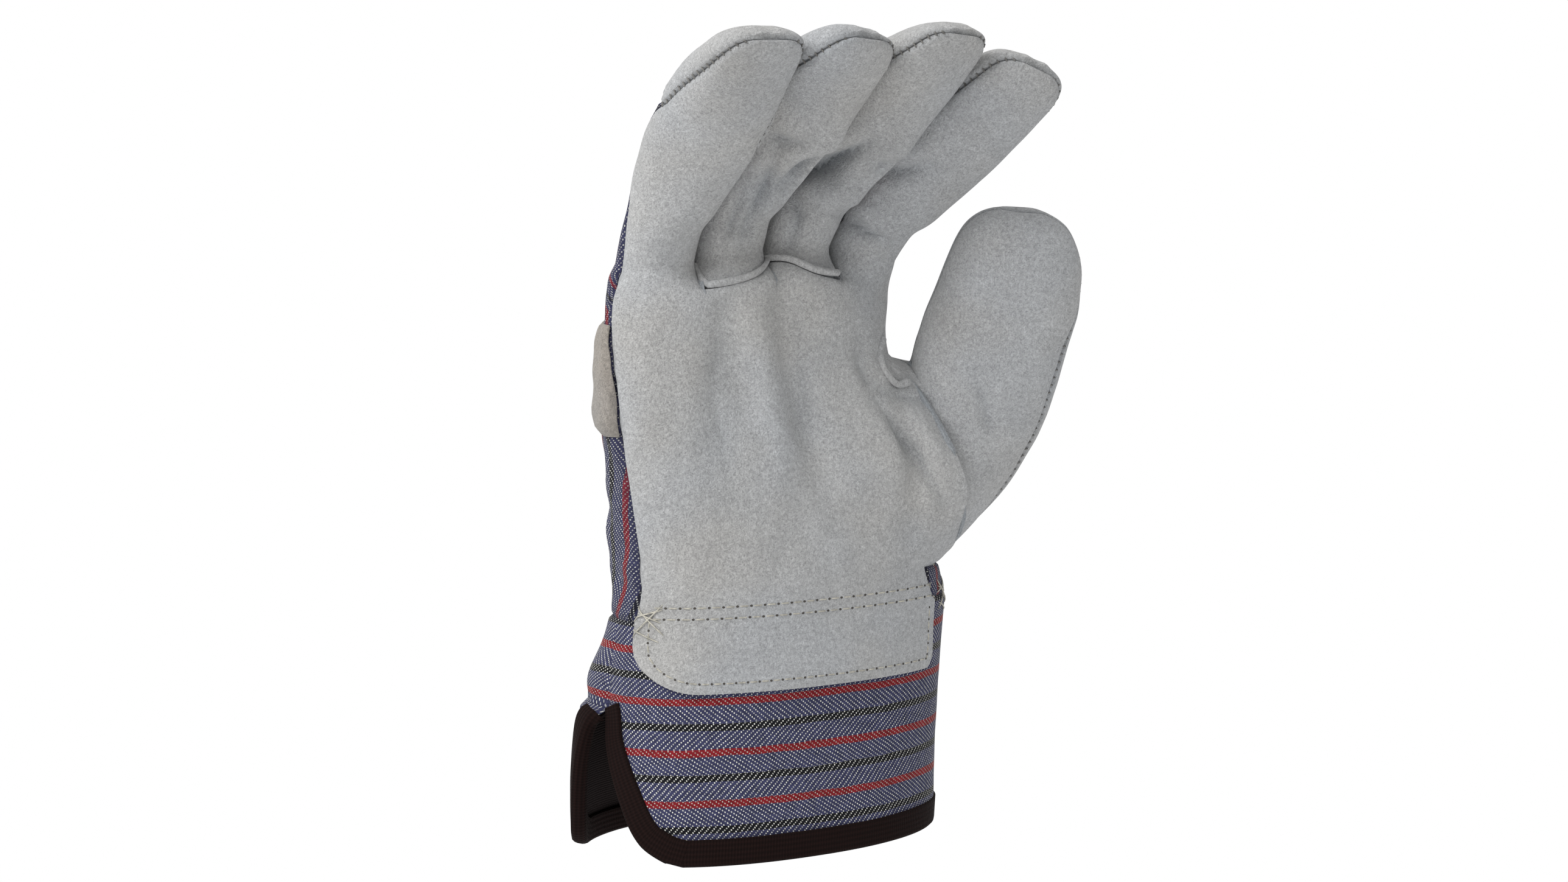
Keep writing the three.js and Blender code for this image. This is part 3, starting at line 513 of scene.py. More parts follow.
def join_points(points):
    """The distinct points, and which of them each given point is."""
    tree = KDTree(len(points))
    for i, point in enumerate(points):
        tree.insert(point, i)
    tree.balance()
    joined = np.full(len(points), -1)
    kept = []
    for i, point in enumerate(points):
        if joined[i] < 0:
            for _, k, _ in tree.find_range(point, JOIN_WITHIN):
                if joined[k] < 0:
                    joined[k] = len(kept)
            kept.append(i)
    return points[kept], joined


class Surface:
    """Four-cornered faces over shared points. Every face carries its part, finger, side and place."""

    def __init__(self):
        self.blocks = []

    def grid(self, points, part, finger, side, rows, flat):
        """points is rows x columns; flat is the same grid laid out flat, for the cloth's threads."""
        if part != "cuff" and side > 0:
            points, flat = points[:, ::-1], flat[:, ::-1]
        self.blocks.append((points, part, finger, side, np.asarray(rows), flat))

    def close(self):
        points, faces, flats, part, finger, side, row, column = [], [], [], [], [], [], [], []
        offset = 0
        for grid, name, index, facing, rows, flat in self.blocks:
            n, m = grid.shape[:2]
            ids = offset + np.arange(n * m).reshape(n, m)
            ring = [ids[:-1, :-1], ids[:-1, 1:], ids[1:, 1:], ids[1:, :-1]]
            laid = [flat[:-1, :-1], flat[:-1, 1:], flat[1:, 1:], flat[1:, :-1]]
            faces.append(np.stack(ring, axis=-1).reshape(-1, 4))
            flats.append(np.stack(laid, axis=2).reshape(-1, 4, 2))
            count = (n - 1) * (m - 1)
            part += [name] * count
            finger += [index] * count
            side += [facing] * count
            row.append(np.repeat((rows[:-1] + rows[1:]) / 2, m - 1))
            column.append(np.tile(np.arange(m - 1), n - 1))
            points.append(grid.reshape(-1, 3))
            offset += n * m
        self.points, joined = join_points(np.concatenate(points))
        self.faces = joined[np.concatenate(faces)]
        self.flats = np.concatenate(flats)
        self.part, self.finger, self.side = np.array(part), np.array(finger), np.array(side)
        self.row, self.column = np.concatenate(row), np.concatenate(column)
        self.normals = self.point_normals()
        return self

    def point_normals(self):
        corner = self.points[self.faces]
        facing = np.cross(corner[:, 2] - corner[:, 0], corner[:, 3] - corner[:, 1])
        sums = np.zeros_like(self.points)
        for k in range(4):
            np.add.at(sums, self.faces[:, k], facing)
        return unit(sums)

    def press(self, depth):
        """Moves every point inwards by its own depth."""
        self.points = self.points - self.normals * depth[:, None]
        self.normals = self.point_normals()


def view_axes():
    azimuth, elevation = math.radians(CAMERA_AZIMUTH), math.radians(CAMERA_ELEVATION)
    right = np.array([math.cos(azimuth), math.sin(azimuth), 0])
    back = np.array([
        math.sin(azimuth) * math.cos(elevation),
        -math.cos(azimuth) * math.cos(elevation),
        math.sin(elevation),
    ])
    return right, np.cross(back, right), back


def seen(points):
    """Where points lie on the upright plane through the camera's target, seen from the camera."""
    right, up, back = view_axes()
    off = points - CAMERA_TARGET
    nearer = CAMERA_DISTANCE / (CAMERA_DISTANCE - off @ back)
    return (off @ right) * nearer, (off @ up) * nearer


def crease_depth(points, normals):
    """How deep the worn creases press each point in, where it faces the viewer."""
    across, up = seen(points)
    facing = smooth(normals @ view_axes()[2], 0.05, 0.4)
    depth = np.zeros(len(points))
    for crease in CREASES:
        line = np.array(crease["line"], float)
        nearest = np.full(len(points), 1e9)
        fade = np.ones(len(points))
        for k, (a, b) in enumerate(zip(line[:-1], line[1:])):
            leg = b - a
            along = np.clip(((across - a[0]) * leg[0] + (up - a[1]) * leg[1]) / (leg @ leg), 0, 1)
            off = np.hypot(across - a[0] - along * leg[0], up - a[1] - along * leg[1])
            share = (k + along) / (len(line) - 1)
            fade = np.where(off < nearest, np.sin(math.pi * np.clip(share, 0.06, 0.94)) ** 0.6, fade)
            nearest = np.minimum(off, nearest)
        depth += crease["depth"] * fade * np.exp(-((nearest / crease["width"]) ** 1.5))
    return depth * facing


def lumps(points, size, amount, seed):
    """Soft unevenness of worn leather and cloth, without any edge."""
    shift = Vector((seed * 17.3, seed * 5.1, seed * 9.7))
    return np.array([amount * noise.noise(Vector(point) / size + shift) for point in points])


def seam_rise(across, up):
    """Rows near the seam at the finger bases follow its wavy course; this is how far they shift up."""
    wave = 0.038 * np.exp(-(((across - 0.06) / 0.17) ** 2))
    return wave * smooth(up, 0.84, FINGER_SEAM) * (1 - smooth(up, FINGER_SEAM, 0.995))


def hand_surface():
    hand = Surface()
    count = FACETS * FINE
    shares = arc_share(np.arange(count + 1), count)
    side_count = PALM_SIDE_ROWS * FINE
    beside_thumb = mix(THUMB_FOOT, THUMB_CROTCH, arc_share(np.arange(side_count + 1), side_count))
    rows = np.concatenate([
        np.linspace(0, THUMB_FOOT, 9)[:-1],
        beside_thumb,
        np.linspace(THUMB_CROTCH, FINGER_SEAM, 21)[1:],
        np.linspace(FINGER_SEAM, 1, 13)[1:],
    ])
    even = np.linspace(0, 1, FINGER_ROWS * FINE + 1)
    finger_rows = mix(even, np.sin(even * math.pi / 2), FINGER_ROW_CROWDING)
    even = np.linspace(0, 1, THUMB_ROWS * FINE + 1)
    thumb_rows = mix(even, np.sin(even * math.pi / 2), THUMB_ROW_CROWDING)
    thumb_shares = 1 - arc_share(side_count - np.arange(side_count + 1), side_count)
    for side in (-1, 1):
        palms = []
        for index in range(4):
            across = -1 + (index + shares[None]) / 2
            up = rows[:, None] + seam_rise(across, rows[:, None])
            palms.append(palm_point(index, shares[None], up, side))
        whole = np.concatenate([palms[0]] + [palm[:, 1:] for palm in palms[1:]], axis=1)
        spans = np.linalg.norm(np.diff(whole, axis=1), axis=-1)
        laid = np.concatenate([np.zeros((len(rows), 1)), np.cumsum(spans, axis=1)], axis=1)
        laid = laid - laid[:, 2 * count:2 * count + 1]
        for index in range(4):
            across = laid[:, index * count:(index + 1) * count + 1]
            flat = np.stack([palms[index][..., 2], across], axis=-1)
            hand.grid(palms[index], "palm", index, side, rows, flat)
            grid = sewn_finger(index, shares[None], finger_rows[:, None], side)
            spans = np.linalg.norm(np.diff(grid, axis=1), axis=-1)
            sums = np.concatenate([np.zeros((len(grid), 1)), np.cumsum(spans, axis=1)], axis=1)
            sums = sums - sums[:, count // 2:count // 2 + 1] + across[-1, count // 2]
            along = palms[index][-1:, :, 2] + finger_rows[:, None] * FINGERS[index]["length"]
            hand.grid(grid, "finger", index, side, finger_rows, np.stack([along, sums], axis=-1))
        grid = sewn_thumb(thumb_shares[None], thumb_rows[:, None], side)
        hand.grid(grid, "thumb", 4, side, thumb_rows, np.zeros(grid.shape[:2] + (2,)))
    columns = np.arange(FLAP_END + 1)
    across = flap_across(columns)
    drops = np.linspace(1, 0, 3 * FINE + 1)
    height = CUFF_LENGTH - (CUFF_LENGTH - flap_hem(across))[None] * drops[:, None]
    grid = flap_surface(across[None], height)
    grid[-1] = np.concatenate([palm_point(i, shares, 0.0, -1)[(i > 0):] for i in range(4)])[: len(columns)]
    hand.grid(grid, "flap", -1, -1, 1 - drops, np.zeros(grid.shape[:2] + (2,)))
    return hand.close()


def make_mesh(name, points, faces, finish, flats=None, shade=(), sharp=40):
    """A smooth-shaded piece of the glove, in metres, riding on the frame's body."""
    clean = [list(dict.fromkeys(face)) for face in np.asarray(faces).tolist()]
    kept = [i for i, face in enumerate(clean) if len(face) > 2]
    mesh = bpy.data.meshes.new(name)
    mesh.from_pydata((np.asarray(points) * MM).tolist(), [], [clean[i] for i in kept])
    if flats is not None:
        layer = mesh.uv_layers.new(name="threads")
        corners = []
        for i in kept:
            seen_ids = {}
            for k, point in enumerate(np.asarray(faces)[i].tolist()):
                seen_ids.setdefault(point, k)
            corners += [flats[i][seen_ids[point]] for point in clean[i]]
        layer.data.foreach_set("uv", np.array(corners, np.float32).ravel())
    for attribute, values in shade:
        mesh.attributes.new(attribute, "FLOAT", "POINT").data.foreach_set("value", values.astype(np.float32))
    mesh.polygons.foreach_set("use_smooth", np.ones(len(mesh.polygons), bool))
    mesh.set_sharp_from_angle(angle=math.radians(sharp))
    mesh.materials.append(finish)
    piece = bpy.data.objects.new(name, mesh)
    bpy.context.scene.collection.objects.link(piece)
    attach(piece, "root")
    return piece


def rim_of(faces):
    """Edges that only one face has, in its own direction."""
    edges = {}
    for face in faces.tolist():
        ring = list(dict.fromkeys(face))
        for a, b in zip(ring, ring[1:] + ring[:1]):
            if (b, a) in edges:
                del edges[b, a]
            else:
                edges[a, b] = True
    return list(edges)


def panel(
    name, node, surface, chosen, finish, slot, thickness,
    lift=0.0, cut=None, puff=0.0, shade=0.0, edge=0.0,
):
    """A sewn panel: outer face, inner face and rim. cut says which rim points are cut edges; shade and
    edge say how much shade is painted on it all over and near its rim. Its inner face is painted in
    full shade."""
    faces = surface.faces[chosen]
    used, local = np.unique(faces, return_inverse=True)
    local = local.reshape(faces.shape)
    points, normals = surface.points[used], surface.normals[used]
    rim = rim_of(local)
    rim_ids = sorted({a for a, _ in rim} | {b for _, b in rim})
    tree = KDTree(len(rim_ids))
    for k, i in enumerate(rim_ids):
        tree.insert(points[i], k)
    tree.balance()
    found = [tree.find(point) for point in points]
    distance = np.array([row[2] for row in found])
    nearest = np.array(rim_ids)[[row[1] for row in found]]
    is_cut = cut(points[nearest]) if cut else np.zeros(len(points), bool)
    depth = np.where(is_cut, CUT[0], TURNED[0] * min(1, np.max(thickness) / LEATHER))
    width = np.where(is_cut, CUT[1], TURNED[1])
    near = 1 - np.clip(distance / width, 0, 1)
    drop = depth * (1 - np.sqrt(1 - near * near))
    wall = np.maximum(np.broadcast_to(thickness, len(surface.points))[used], drop + RIM_WALL)
    lift = np.broadcast_to(lift, len(surface.points))[used] + puff * smooth(distance, 0, PUFF_WITHIN)
    outer = points + normals * (lift - drop)[:, None]
    inner = points + normals * (lift - wall)[:, None]
    n = len(points)
    walls = np.array([(b, a, a + n, b + n) for a, b in rim])
    all_faces = np.concatenate([local, local[:, ::-1] + n, walls])
    flats = surface.flats[chosen]
    all_flats = np.concatenate([flats, flats[:, ::-1], np.repeat(flats[:1], len(walls), axis=0)])
    # Painted shade, kept as the mesh's crease value: the given shade, more in the roll of turned seams and
    # near the rim, and full shade on the inner face
    all_over = np.broadcast_to(shade, len(surface.points))[used]
    dark = all_over + SEAM_SHADE * near * ~is_cut + edge * (1 - smooth(distance, 0, EDGE_SHADE_WITHIN))
    piece = make_mesh(
        name, np.concatenate([outer, inner]), all_faces, finish, all_flats,
        shade=[("crease", np.concatenate([dark, dark * 0 + 1]))],
    )
    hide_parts(node)
    return piece, outer, local


# Shader effects that several finishes share

class Graph:
    """Short ways of adding shader nodes to one tree."""

    def __init__(self, tree):
        self.nodes, self.links = tree.nodes, tree.links

    def put(self, kind, settings=(), **inputs):
        node = self.nodes.new(kind)
        for key, value in dict(settings).items():
            setattr(node, key, value)
        for key, value in inputs.items():
            self.feed(node.inputs[key.replace("_", " ")], value)
        return node

    def feed(self, socket, value):
        if isinstance(value, bpy.types.NodeSocket):
            self.links.new(value, socket)
        else:
            socket.default_value = value

    def math(self, operation, *values):
        node = self.nodes.new("ShaderNodeMath")
        node.operation = operation
        for socket, value in zip(node.inputs, values):
            self.feed(socket, value)
        return node.outputs[0]

    def blend(self, share, a, b, kind="MIX"):
        node = self.nodes.new("ShaderNodeMix")
        node.data_type, node.blend_type = "RGBA", kind
        self.feed(node.inputs["Factor"], share)
        self.feed(node.inputs["A"], a)
        self.feed(node.inputs["B"], b)
        return node.outputs["Result"]

    def span(self, value, low, high, to_low=0.0, to_high=1.0, soft=False):
        node = self.put("ShaderNodeMapRange")
        node.interpolation_type = "SMOOTHSTEP" if soft else "LINEAR"
        for name, number in (("Value", value), ("From Min", low), ("From Max", high)):
            self.feed(node.inputs[name], number)
        self.feed(node.inputs["To Min"], to_low)
        self.feed(node.inputs["To Max"], to_high)
        return node.outputs["Result"]


def new_group(name, inputs, outputs):
    """A node group with its own named sockets, each (name, kind, value)."""
    group = bpy.data.node_groups.new(name, "ShaderNodeTree")
    for socket, kind, value in inputs:
        made = group.interface.new_socket(socket, in_out="INPUT", socket_type=kind)
        if value is not None:
            made.default_value = value
    for socket, kind in outputs:
        group.interface.new_socket(socket, in_out="OUTPUT", socket_type=kind)
    graph = Graph(group)
    return group, graph, group.nodes.new("NodeGroupInput"), group.nodes.new("NodeGroupOutput")


def nap_group():
    """Brushed split leather: short fibres, soft mottling and wide blotches."""
    group, g, given, out = new_group(
        "brushed nap",
        [("Place", "NodeSocketVector", None), ("Fibres per Metre", "NodeSocketFloat", 2300.0)],
        [("Tone", "NodeSocketFloat"), ("Height", "NodeSocketFloat")],
    )
    place, density = given.outputs["Place"], given.outputs["Fibres per Metre"]
    swirl = g.put("ShaderNodeTexNoise", Vector=place, Scale=260.0, Detail=1.0)
    bent = g.put("ShaderNodeVectorMath", {"operation": "SCALE"})
    g.feed(bent.inputs[0], swirl.outputs["Color"])
    bent.inputs["Scale"].default_value = 0.0016
    lain = g.put("ShaderNodeVectorMath", {"operation": "ADD"})
    g.feed(lain.inputs[0], place)
    g.feed(lain.inputs[1], bent.outputs[0])
    fibres = g.put("ShaderNodeTexNoise", Vector=lain.outputs[0], Scale=density, Detail=3.0, Roughness=0.65)
    tufts = g.put("ShaderNodeTexNoise", Vector=place, Scale=1000.0, Detail=3.0, Roughness=0.65)
    blotch = g.put("ShaderNodeTexNoise", Vector=place, Scale=75.0, Detail=3.0, Roughness=0.55)
    tone = g.math("MULTIPLY_ADD", fibres.outputs["Fac"], 1.3, 0.35)
    tone = g.math("MULTIPLY", tone, g.math("MULTIPLY_ADD", tufts.outputs["Fac"], 1.05, 0.475))
    tone = g.math("MULTIPLY", tone, g.math("MULTIPLY_ADD", blotch.outputs["Fac"], 0.26, 0.87))
    height = g.math("MULTIPLY_ADD", tufts.outputs["Fac"], 0.9, fibres.outputs["Fac"])
    g.feed(out.inputs["Tone"], tone)
    g.feed(out.inputs["Height"], height)
    return group


def twill_group():
    """Herringbone twill: bands with a coloured stripe at the top of each, crossed by pale weft dots whose
    slant turns from band to band. Threads gives millimetres along and across the stripes."""
    group, g, given, out = new_group(
        "striped twill",
        [
            ("Threads", "NodeSocketVector", None),
            ("Band", "NodeSocketFloat", 7.35),
            ("Stripe", "NodeSocketFloat", 2.15),
            ("Warp Pitch", "NodeSocketFloat", 0.62),
            ("Weft Pitch", "NodeSocketFloat", 0.5),
            ("Ground", "NodeSocketColor", (0.032, 0.034, 0.076, 1)),
            ("First Stripe", "NodeSocketColor", (0.16, 0.009, 0.013, 1)),
            ("Second Stripe", "NodeSocketColor", (0.006, 0.006, 0.008, 1)),
            ("Weft", "NodeSocketColor", (0.6, 0.6, 0.55, 1)),
        ],
        [("Color", "NodeSocketColor"), ("Height", "NodeSocketFloat")],
    )
    spot = g.put("ShaderNodeSeparateXYZ", Vector=given.outputs["Threads"])
    drift = g.put("ShaderNodeTexNoise", Vector=given.outputs["Threads"], Scale=0.12, Detail=2.0)
    along = g.math("MULTIPLY_ADD", drift.outputs["Fac"], 0.9, spot.outputs["X"])
    wander = g.put("ShaderNodeTexNoise", Vector=given.outputs["Threads"], Scale=0.09, Detail=1.0)
    across = g.math("MULTIPLY_ADD", wander.outputs["Fac"], 0.8, spot.outputs["Y"])
    band = g.math("DIVIDE", across, given.outputs["Band"])
    odd = g.math("FLOORED_MODULO", g.math("FLOOR", band), 2.0)
    edge = g.math("SUBTRACT", 1.0, g.math("DIVIDE", given.outputs["Stripe"], given.outputs["Band"]))
    striped = g.span(g.math("FRACT", band), edge, g.math("ADD", edge, 0.02))
    columns = g.math("DIVIDE", along, given.outputs["Warp Pitch"])
    rows = g.math("DIVIDE", across, given.outputs["Weft Pitch"])
    column, row = g.math("FLOOR", columns), g.math("FLOOR", rows)
    slant = g.math("MULTIPLY_ADD", odd, -2.0, 1.0)
    step = g.math("FLOORED_MODULO", g.math("MULTIPLY_ADD", slant, row, column), 3.0)
    float_over = g.math("LESS_THAN", step, 0.5)
    off_column = g.math("DIVIDE", g.math("SUBTRACT", g.math("FRACT", columns), 0.5), 0.4)
    off_row = g.math("DIVIDE", g.math("SUBTRACT", g.math("FRACT", rows), 0.5), 0.54)
    squares = g.math("ADD", g.math("MULTIPLY", off_column, off_column), g.math("MULTIPLY", off_row, off_row))
    dot = g.math("MULTIPLY", g.span(squares, 1.0, 0.5, soft=True), float_over)
    cell = g.put("ShaderNodeCombineXYZ", X=column, Y=row)
    uneven = g.put("ShaderNodeTexWhiteNoise", Vector=cell.outputs[0])
    strength = g.math("MULTIPLY_ADD", uneven.outputs["Value"], 0.6, 0.45)
    fainter = g.math("MULTIPLY_ADD", odd, 0.4, -0.4)
    strength = g.math("MULTIPLY", strength, g.math("MULTIPLY_ADD", striped, fainter, 1.0))
    stretched = g.put(
        "ShaderNodeCombineXYZ", X=g.math("MULTIPLY", along, 0.35), Y=g.math("MULTIPLY", across, 2.2)
    )
    slub = g.put("ShaderNodeTexNoise", Vector=stretched.outputs[0], Scale=1.0, Detail=3.0, Roughness=0.7)
    fleck = g.put("ShaderNodeTexNoise", Vector=given.outputs["Threads"], Scale=2.6, Detail=2.0)
    dyed = g.blend(odd, given.outputs["First Stripe"], given.outputs["Second Stripe"])
    ground = g.blend(striped, given.outputs["Ground"], dyed)
    worn = g.put("ShaderNodeTexNoise", Vector=given.outputs["Threads"], Scale=0.4, Detail=3.0)
    slubbed = g.span(slub.outputs["Fac"], 0.25, 0.75, 0.65, 1.35)
    faded = g.span(worn.outputs["Fac"], 0.3, 0.7, 0.75, 1.25)
    tone = g.math("MULTIPLY", slubbed, faded)
    tone = g.math("MULTIPLY", tone, g.span(fleck.outputs["Fac"], 0.3, 0.7, 0.75, 1.25))
    toned = g.put("ShaderNodeVectorMath", {"operation": "SCALE"})
    g.feed(toned.inputs[0], ground)
    g.feed(toned.inputs["Scale"], tone)
    colour = g.blend(g.math("MULTIPLY", dot, strength), toned.outputs[0], given.outputs["Weft"])
    rib = g.math("SINE", g.math("MULTIPLY", rows, 2 * math.pi))
    height = g.math("ADD", g.math("MULTIPLY", dot, 0.8), g.math("MULTIPLY", rib, 0.12))
    height = g.math("ADD", height, g.math("MULTIPLY", slub.outputs["Fac"], 0.4))
    g.feed(out.inputs["Color"], colour)
    g.feed(out.inputs["Height"], height)
    return group


def shade_group():
    """Painted shade: darkens and cools a colour in creases and along turned seams, by the mesh's own crease
    value.
    """
    group, g, given, out = new_group(
        "crease shade",
        [
            ("Color", "NodeSocketColor", (0.5, 0.5, 0.5, 1)),
            ("Crease", "NodeSocketFloat", 0.0),
            ("Tone", "NodeSocketFloat", 1.0),
            ("Shade", "NodeSocketColor", (0.2, 0.24, 0.3, 1)),
        ],
        [("Color", "NodeSocketColor")],
    )
    share = g.span(given.outputs["Crease"], 0.0, 1.4, 0.0, 0.85)
    shaded = g.blend(share, given.outputs["Color"], given.outputs["Shade"])
    toned = g.put("ShaderNodeVectorMath", {"operation": "SCALE"})
    g.feed(toned.inputs[0], shaded)
    g.feed(toned.inputs["Scale"], given.outputs["Tone"])
    g.feed(out.inputs["Color"], toned.outputs[0])
    return group


GROUPS = {}


def use_group(graph, name, **inputs):
    node = graph.put("ShaderNodeGroup", {"node_tree": GROUPS[name]})
    for key, value in inputs.items():
        graph.feed(node.inputs[key.replace("_", " ")], value)
    return node


def finish(name, roughness, sheen=0.0, sheen_roughness=0.5, specular=0.3):
    """A material with its plain numbers on the shader's own sockets."""
    made = bpy.data.materials.new(name)
    made.use_nodes = True
    graph = Graph(made.node_tree)
    shader = made.node_tree.nodes["Principled BSDF"]
    shader.inputs["Roughness"].default_value = roughness
    shader.inputs["Sheen Weight"].default_value = sheen
    shader.inputs["Sheen Roughness"].default_value = sheen_roughness
    shader.inputs["Specular IOR Level"].default_value = specular
    return made, graph, shader


def add_bump(graph, shader, height, strength, distance):
    bump = graph.put("ShaderNodeBump", Strength=strength, Distance=distance, Height=height)
    graph.feed(shader.inputs["Normal"], bump.outputs["Normal"])


def suede(name, colour, shade=(0.17, 0.195, 0.22, 1)):
    made, g, shader = finish(name, 0.96, sheen=0.25, sheen_roughness=0.6, specular=0.15)
    place = g.put("ShaderNodeTexCoord").outputs["Object"]
    nap = use_group(g, "nap", Place=place, Fibres_per_Metre=2300.0)
    # Painted shade: where the crease value is high, the suede's colour is blended towards the bluish shade
    # colour
    crease = g.put("ShaderNodeAttribute", {"attribute_name": "crease"}).outputs["Fac"]
    warm = tuple(channel * tint for channel, tint in zip(colour, (1.018, 1.003, 0.975, 1)))
    cool = tuple(channel * tint for channel, tint in zip(colour, (0.982, 1.0, 1.022, 1)))
    dye = g.put("ShaderNodeTexNoise", Vector=place, Scale=22.0, Detail=2.0)
    dyed = g.blend(g.span(dye.outputs["Fac"], 0.38, 0.62), cool, warm)
    shaded = use_group(g, "shade", Color=dyed, Crease=crease, Tone=nap.outputs["Tone"], Shade=shade)
    g.feed(shader.inputs["Base Color"], shaded.outputs["Color"])
    add_bump(g, shader, nap.outputs["Height"], 0.8, 0.0007)
    return made


def striped_cloth():
    made, g, shader = finish("striped twill", 0.9, sheen=0.04, specular=0.12)
    threads = g.put("ShaderNodeUVMap", {"uv_map": "threads"}).outputs["UV"]
    weave = use_group(g, "twill", Threads=threads)
    # Painted shade: along turned seams and near the back's edges the cloth is blended towards a near-black
    # blue
    crease = g.put("ShaderNodeAttribute", {"attribute_name": "crease"}).outputs["Fac"]
    dark = use_group(g, "shade", Color=weave.outputs["Color"], Crease=crease, Shade=(0.02, 0.02, 0.04, 1))
    g.feed(shader.inputs["Base Color"], dark.outputs["Color"])
    add_bump(g, shader, weave.outputs["Height"], 0.6, 0.0004)
    return made


def woven(name, colour, along_pitch, across_pitch, roughness=0.9, strength=0.6, pale=2.2):
    """A plain dark fabric with ribs along and across it. Its raised threads are painted paler, a painted
    highlight, and the fuzz makes the tone uneven at random.
    """
    made, g, shader = finish(name, roughness, specular=0.1)
    threads = g.put("ShaderNodeUVMap", {"uv_map": "threads"}).outputs["UV"]
    spot = g.put("ShaderNodeSeparateXYZ", Vector=threads)
    ribs = g.math("SINE", g.math("MULTIPLY", spot.outputs["X"], 2 * math.pi / along_pitch))
    cords = g.math("SINE", g.math("MULTIPLY", spot.outputs["Y"], 2 * math.pi / across_pitch))
    fuzz = g.put("ShaderNodeTexNoise", Vector=threads, Scale=1.8, Detail=3.0, Roughness=0.7)
    height = g.math("ADD", g.math("MULTIPLY", ribs, 0.3), g.math("MULTIPLY", cords, 0.4))
    height = g.math("ADD", height, g.math("MULTIPLY", fuzz.outputs["Fac"], 0.8))
    # Painted highlight: the higher the threads and fuzz, the paler the colour, up to pale times the base
    lit = tuple(pale * channel for channel in colour[:3]) + (1,)
    g.feed(shader.inputs["Base Color"], g.blend(g.span(height, -0.2, 1.2), colour, lit))
    add_bump(g, shader, height, strength, 0.0004)
    return made


def thread_finish(name, colour):
    """Twisted sewing thread, a little uneven in colour."""
    made, g, shader = finish(name, 0.7, sheen=0.1)
    place = g.put("ShaderNodeTexCoord").outputs["Object"]
    uneven = g.put("ShaderNodeTexNoise", Vector=place, Scale=900.0, Detail=2.0)
    dull = tuple(0.6 * channel for channel in colour[:3]) + (1,)
    g.feed(shader.inputs["Base Color"], g.blend(g.span(uneven.outputs["Fac"], 0.35, 0.65), dull, colour))
    add_bump(g, shader, uneven.outputs["Fac"], 0.3, 0.0002)
    return made


# Strips and threads that follow a line over a surface

def stops_along(surface_point, line):
    """Places for a strip along a line of a surface's own two coordinates; its inner side is to the left."""
    step = 1e-3
    line = np.asarray(line, float)
    u, v = line[:, 0], line[:, 1]
    spots = np.arange(len(line))
    before, after = line[np.maximum(spots - 1, 0)], line[np.minimum(spots + 1, len(line) - 1)]

    def scale(du, dv):
        ahead, back = surface_point(u + du, v + dv), surface_point(u - du, v - dv)
        return np.linalg.norm(ahead - back, axis=-1) / (2 * step)

    scale_u, scale_v = scale(step, 0), scale(0, step)
    along = unit(np.stack([(after - before)[:, 0] * scale_u, (after - before)[:, 1] * scale_v], axis=-1))

    def place(into, out):
        a, b = u - along[:, 1] * into / scale_u, v + along[:, 0] * into / scale_v
        across_u = surface_point(a + step, b) - surface_point(a - step, b)
        across_v = surface_point(a, b + step) - surface_point(a, b - step)
        return surface_point(a, b) + unit(np.cross(across_u, across_v)) * out

    return place


def swept(name, node, surface_point, line, profile, finish):
    """A strip with a closed profile of [in from the edge, out from the surface] pairs."""
    place = stops_along(surface_point, line)
    rings = np.stack([place(into, out) for into, out in profile], axis=1)
    stops, n = rings.shape[:2]
    ids = np.arange(stops * n).reshape(stops, n)
    beside = np.roll(ids, -1, axis=1)
    walls = np.stack([ids[:-1], beside[:-1], beside[1:], ids[1:]], axis=-1).reshape(-1, 4)
    travel = np.linalg.norm(np.diff(rings.mean(axis=1), axis=0), axis=-1)
    along = np.concatenate([[0], np.cumsum(travel)])
    steps = np.linalg.norm(np.array(profile) - np.roll(profile, 1, axis=0), axis=-1)
    round_it = np.cumsum(steps) - steps[0]
    flats = []
    for low, high in zip(along[:-1], along[1:]):
        for k in range(n):
            near, far = round_it[k], round_it[k] + steps[(k + 1) % n]
            flats.append([(low, near), (low, far), (high, far), (high, near)])
    ends = [list(ids[0][::-1]), list(ids[-1])]
    mesh_faces = walls.tolist()
    corners = np.array(flats)
    points = rings.reshape(-1, 3)
    for end in ends:
        centre = len(points)
        points = np.concatenate([points, points[end].mean(axis=0)[None]])
        for a, b in zip(end, end[1:] + end[:1]):
            mesh_faces.append([a, b, centre, centre])
            corners = np.concatenate([corners, np.zeros((1, 4, 2))])
    piece = make_mesh(name, points, mesh_faces, finish, corners, sharp=60)
    if node:
        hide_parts(node)
    return piece


def tubes(name, paths, radius, finish, sides=7):
    """Round threads along several short paths, with closed, tapered ends, as one mesh."""
    points, faces = [], []
    for path in paths:
        path = np.asarray(path, float)
        along = unit(np.gradient(path, axis=0))
        bow = unit(np.cross(path[len(path) // 2] - path[0], path[-1] - path[0] + 1e-3))
        guide = unit(np.cross(along, bow))
        other = np.cross(along, guide)
        share = np.linspace(0, 1, len(path))
        sizes = radius * np.sqrt(np.maximum(0.12, 1 - np.abs(2 * share - 1) ** 6))
        offset = len(points)
        for centre, a, b, size in zip(path, guide, other, sizes):
            for k in range(sides):
                turn = 2 * math.pi * k / sides
                points.append(centre + size * (a * math.cos(turn) + b * math.sin(turn)))
        count = len(path)
        for s in range(count - 1):
            for k in range(sides):
                a, b = offset + s * sides + k, offset + s * sides + (k + 1) % sides
                faces.append([a, b, b + sides, a + sides])
        for end, flip in ((0, True), (count - 1, False)):
            ring = [offset + end * sides + k for k in range(sides)]
            points.append(path[end])
            centre = len(points) - 1
            for a, b in zip(ring, ring[1:] + ring[:1]):
                faces.append([b, a, centre, centre] if flip else [a, b, centre, centre])
    return make_mesh(name, np.array(points), np.array(faces), finish, sharp=80)


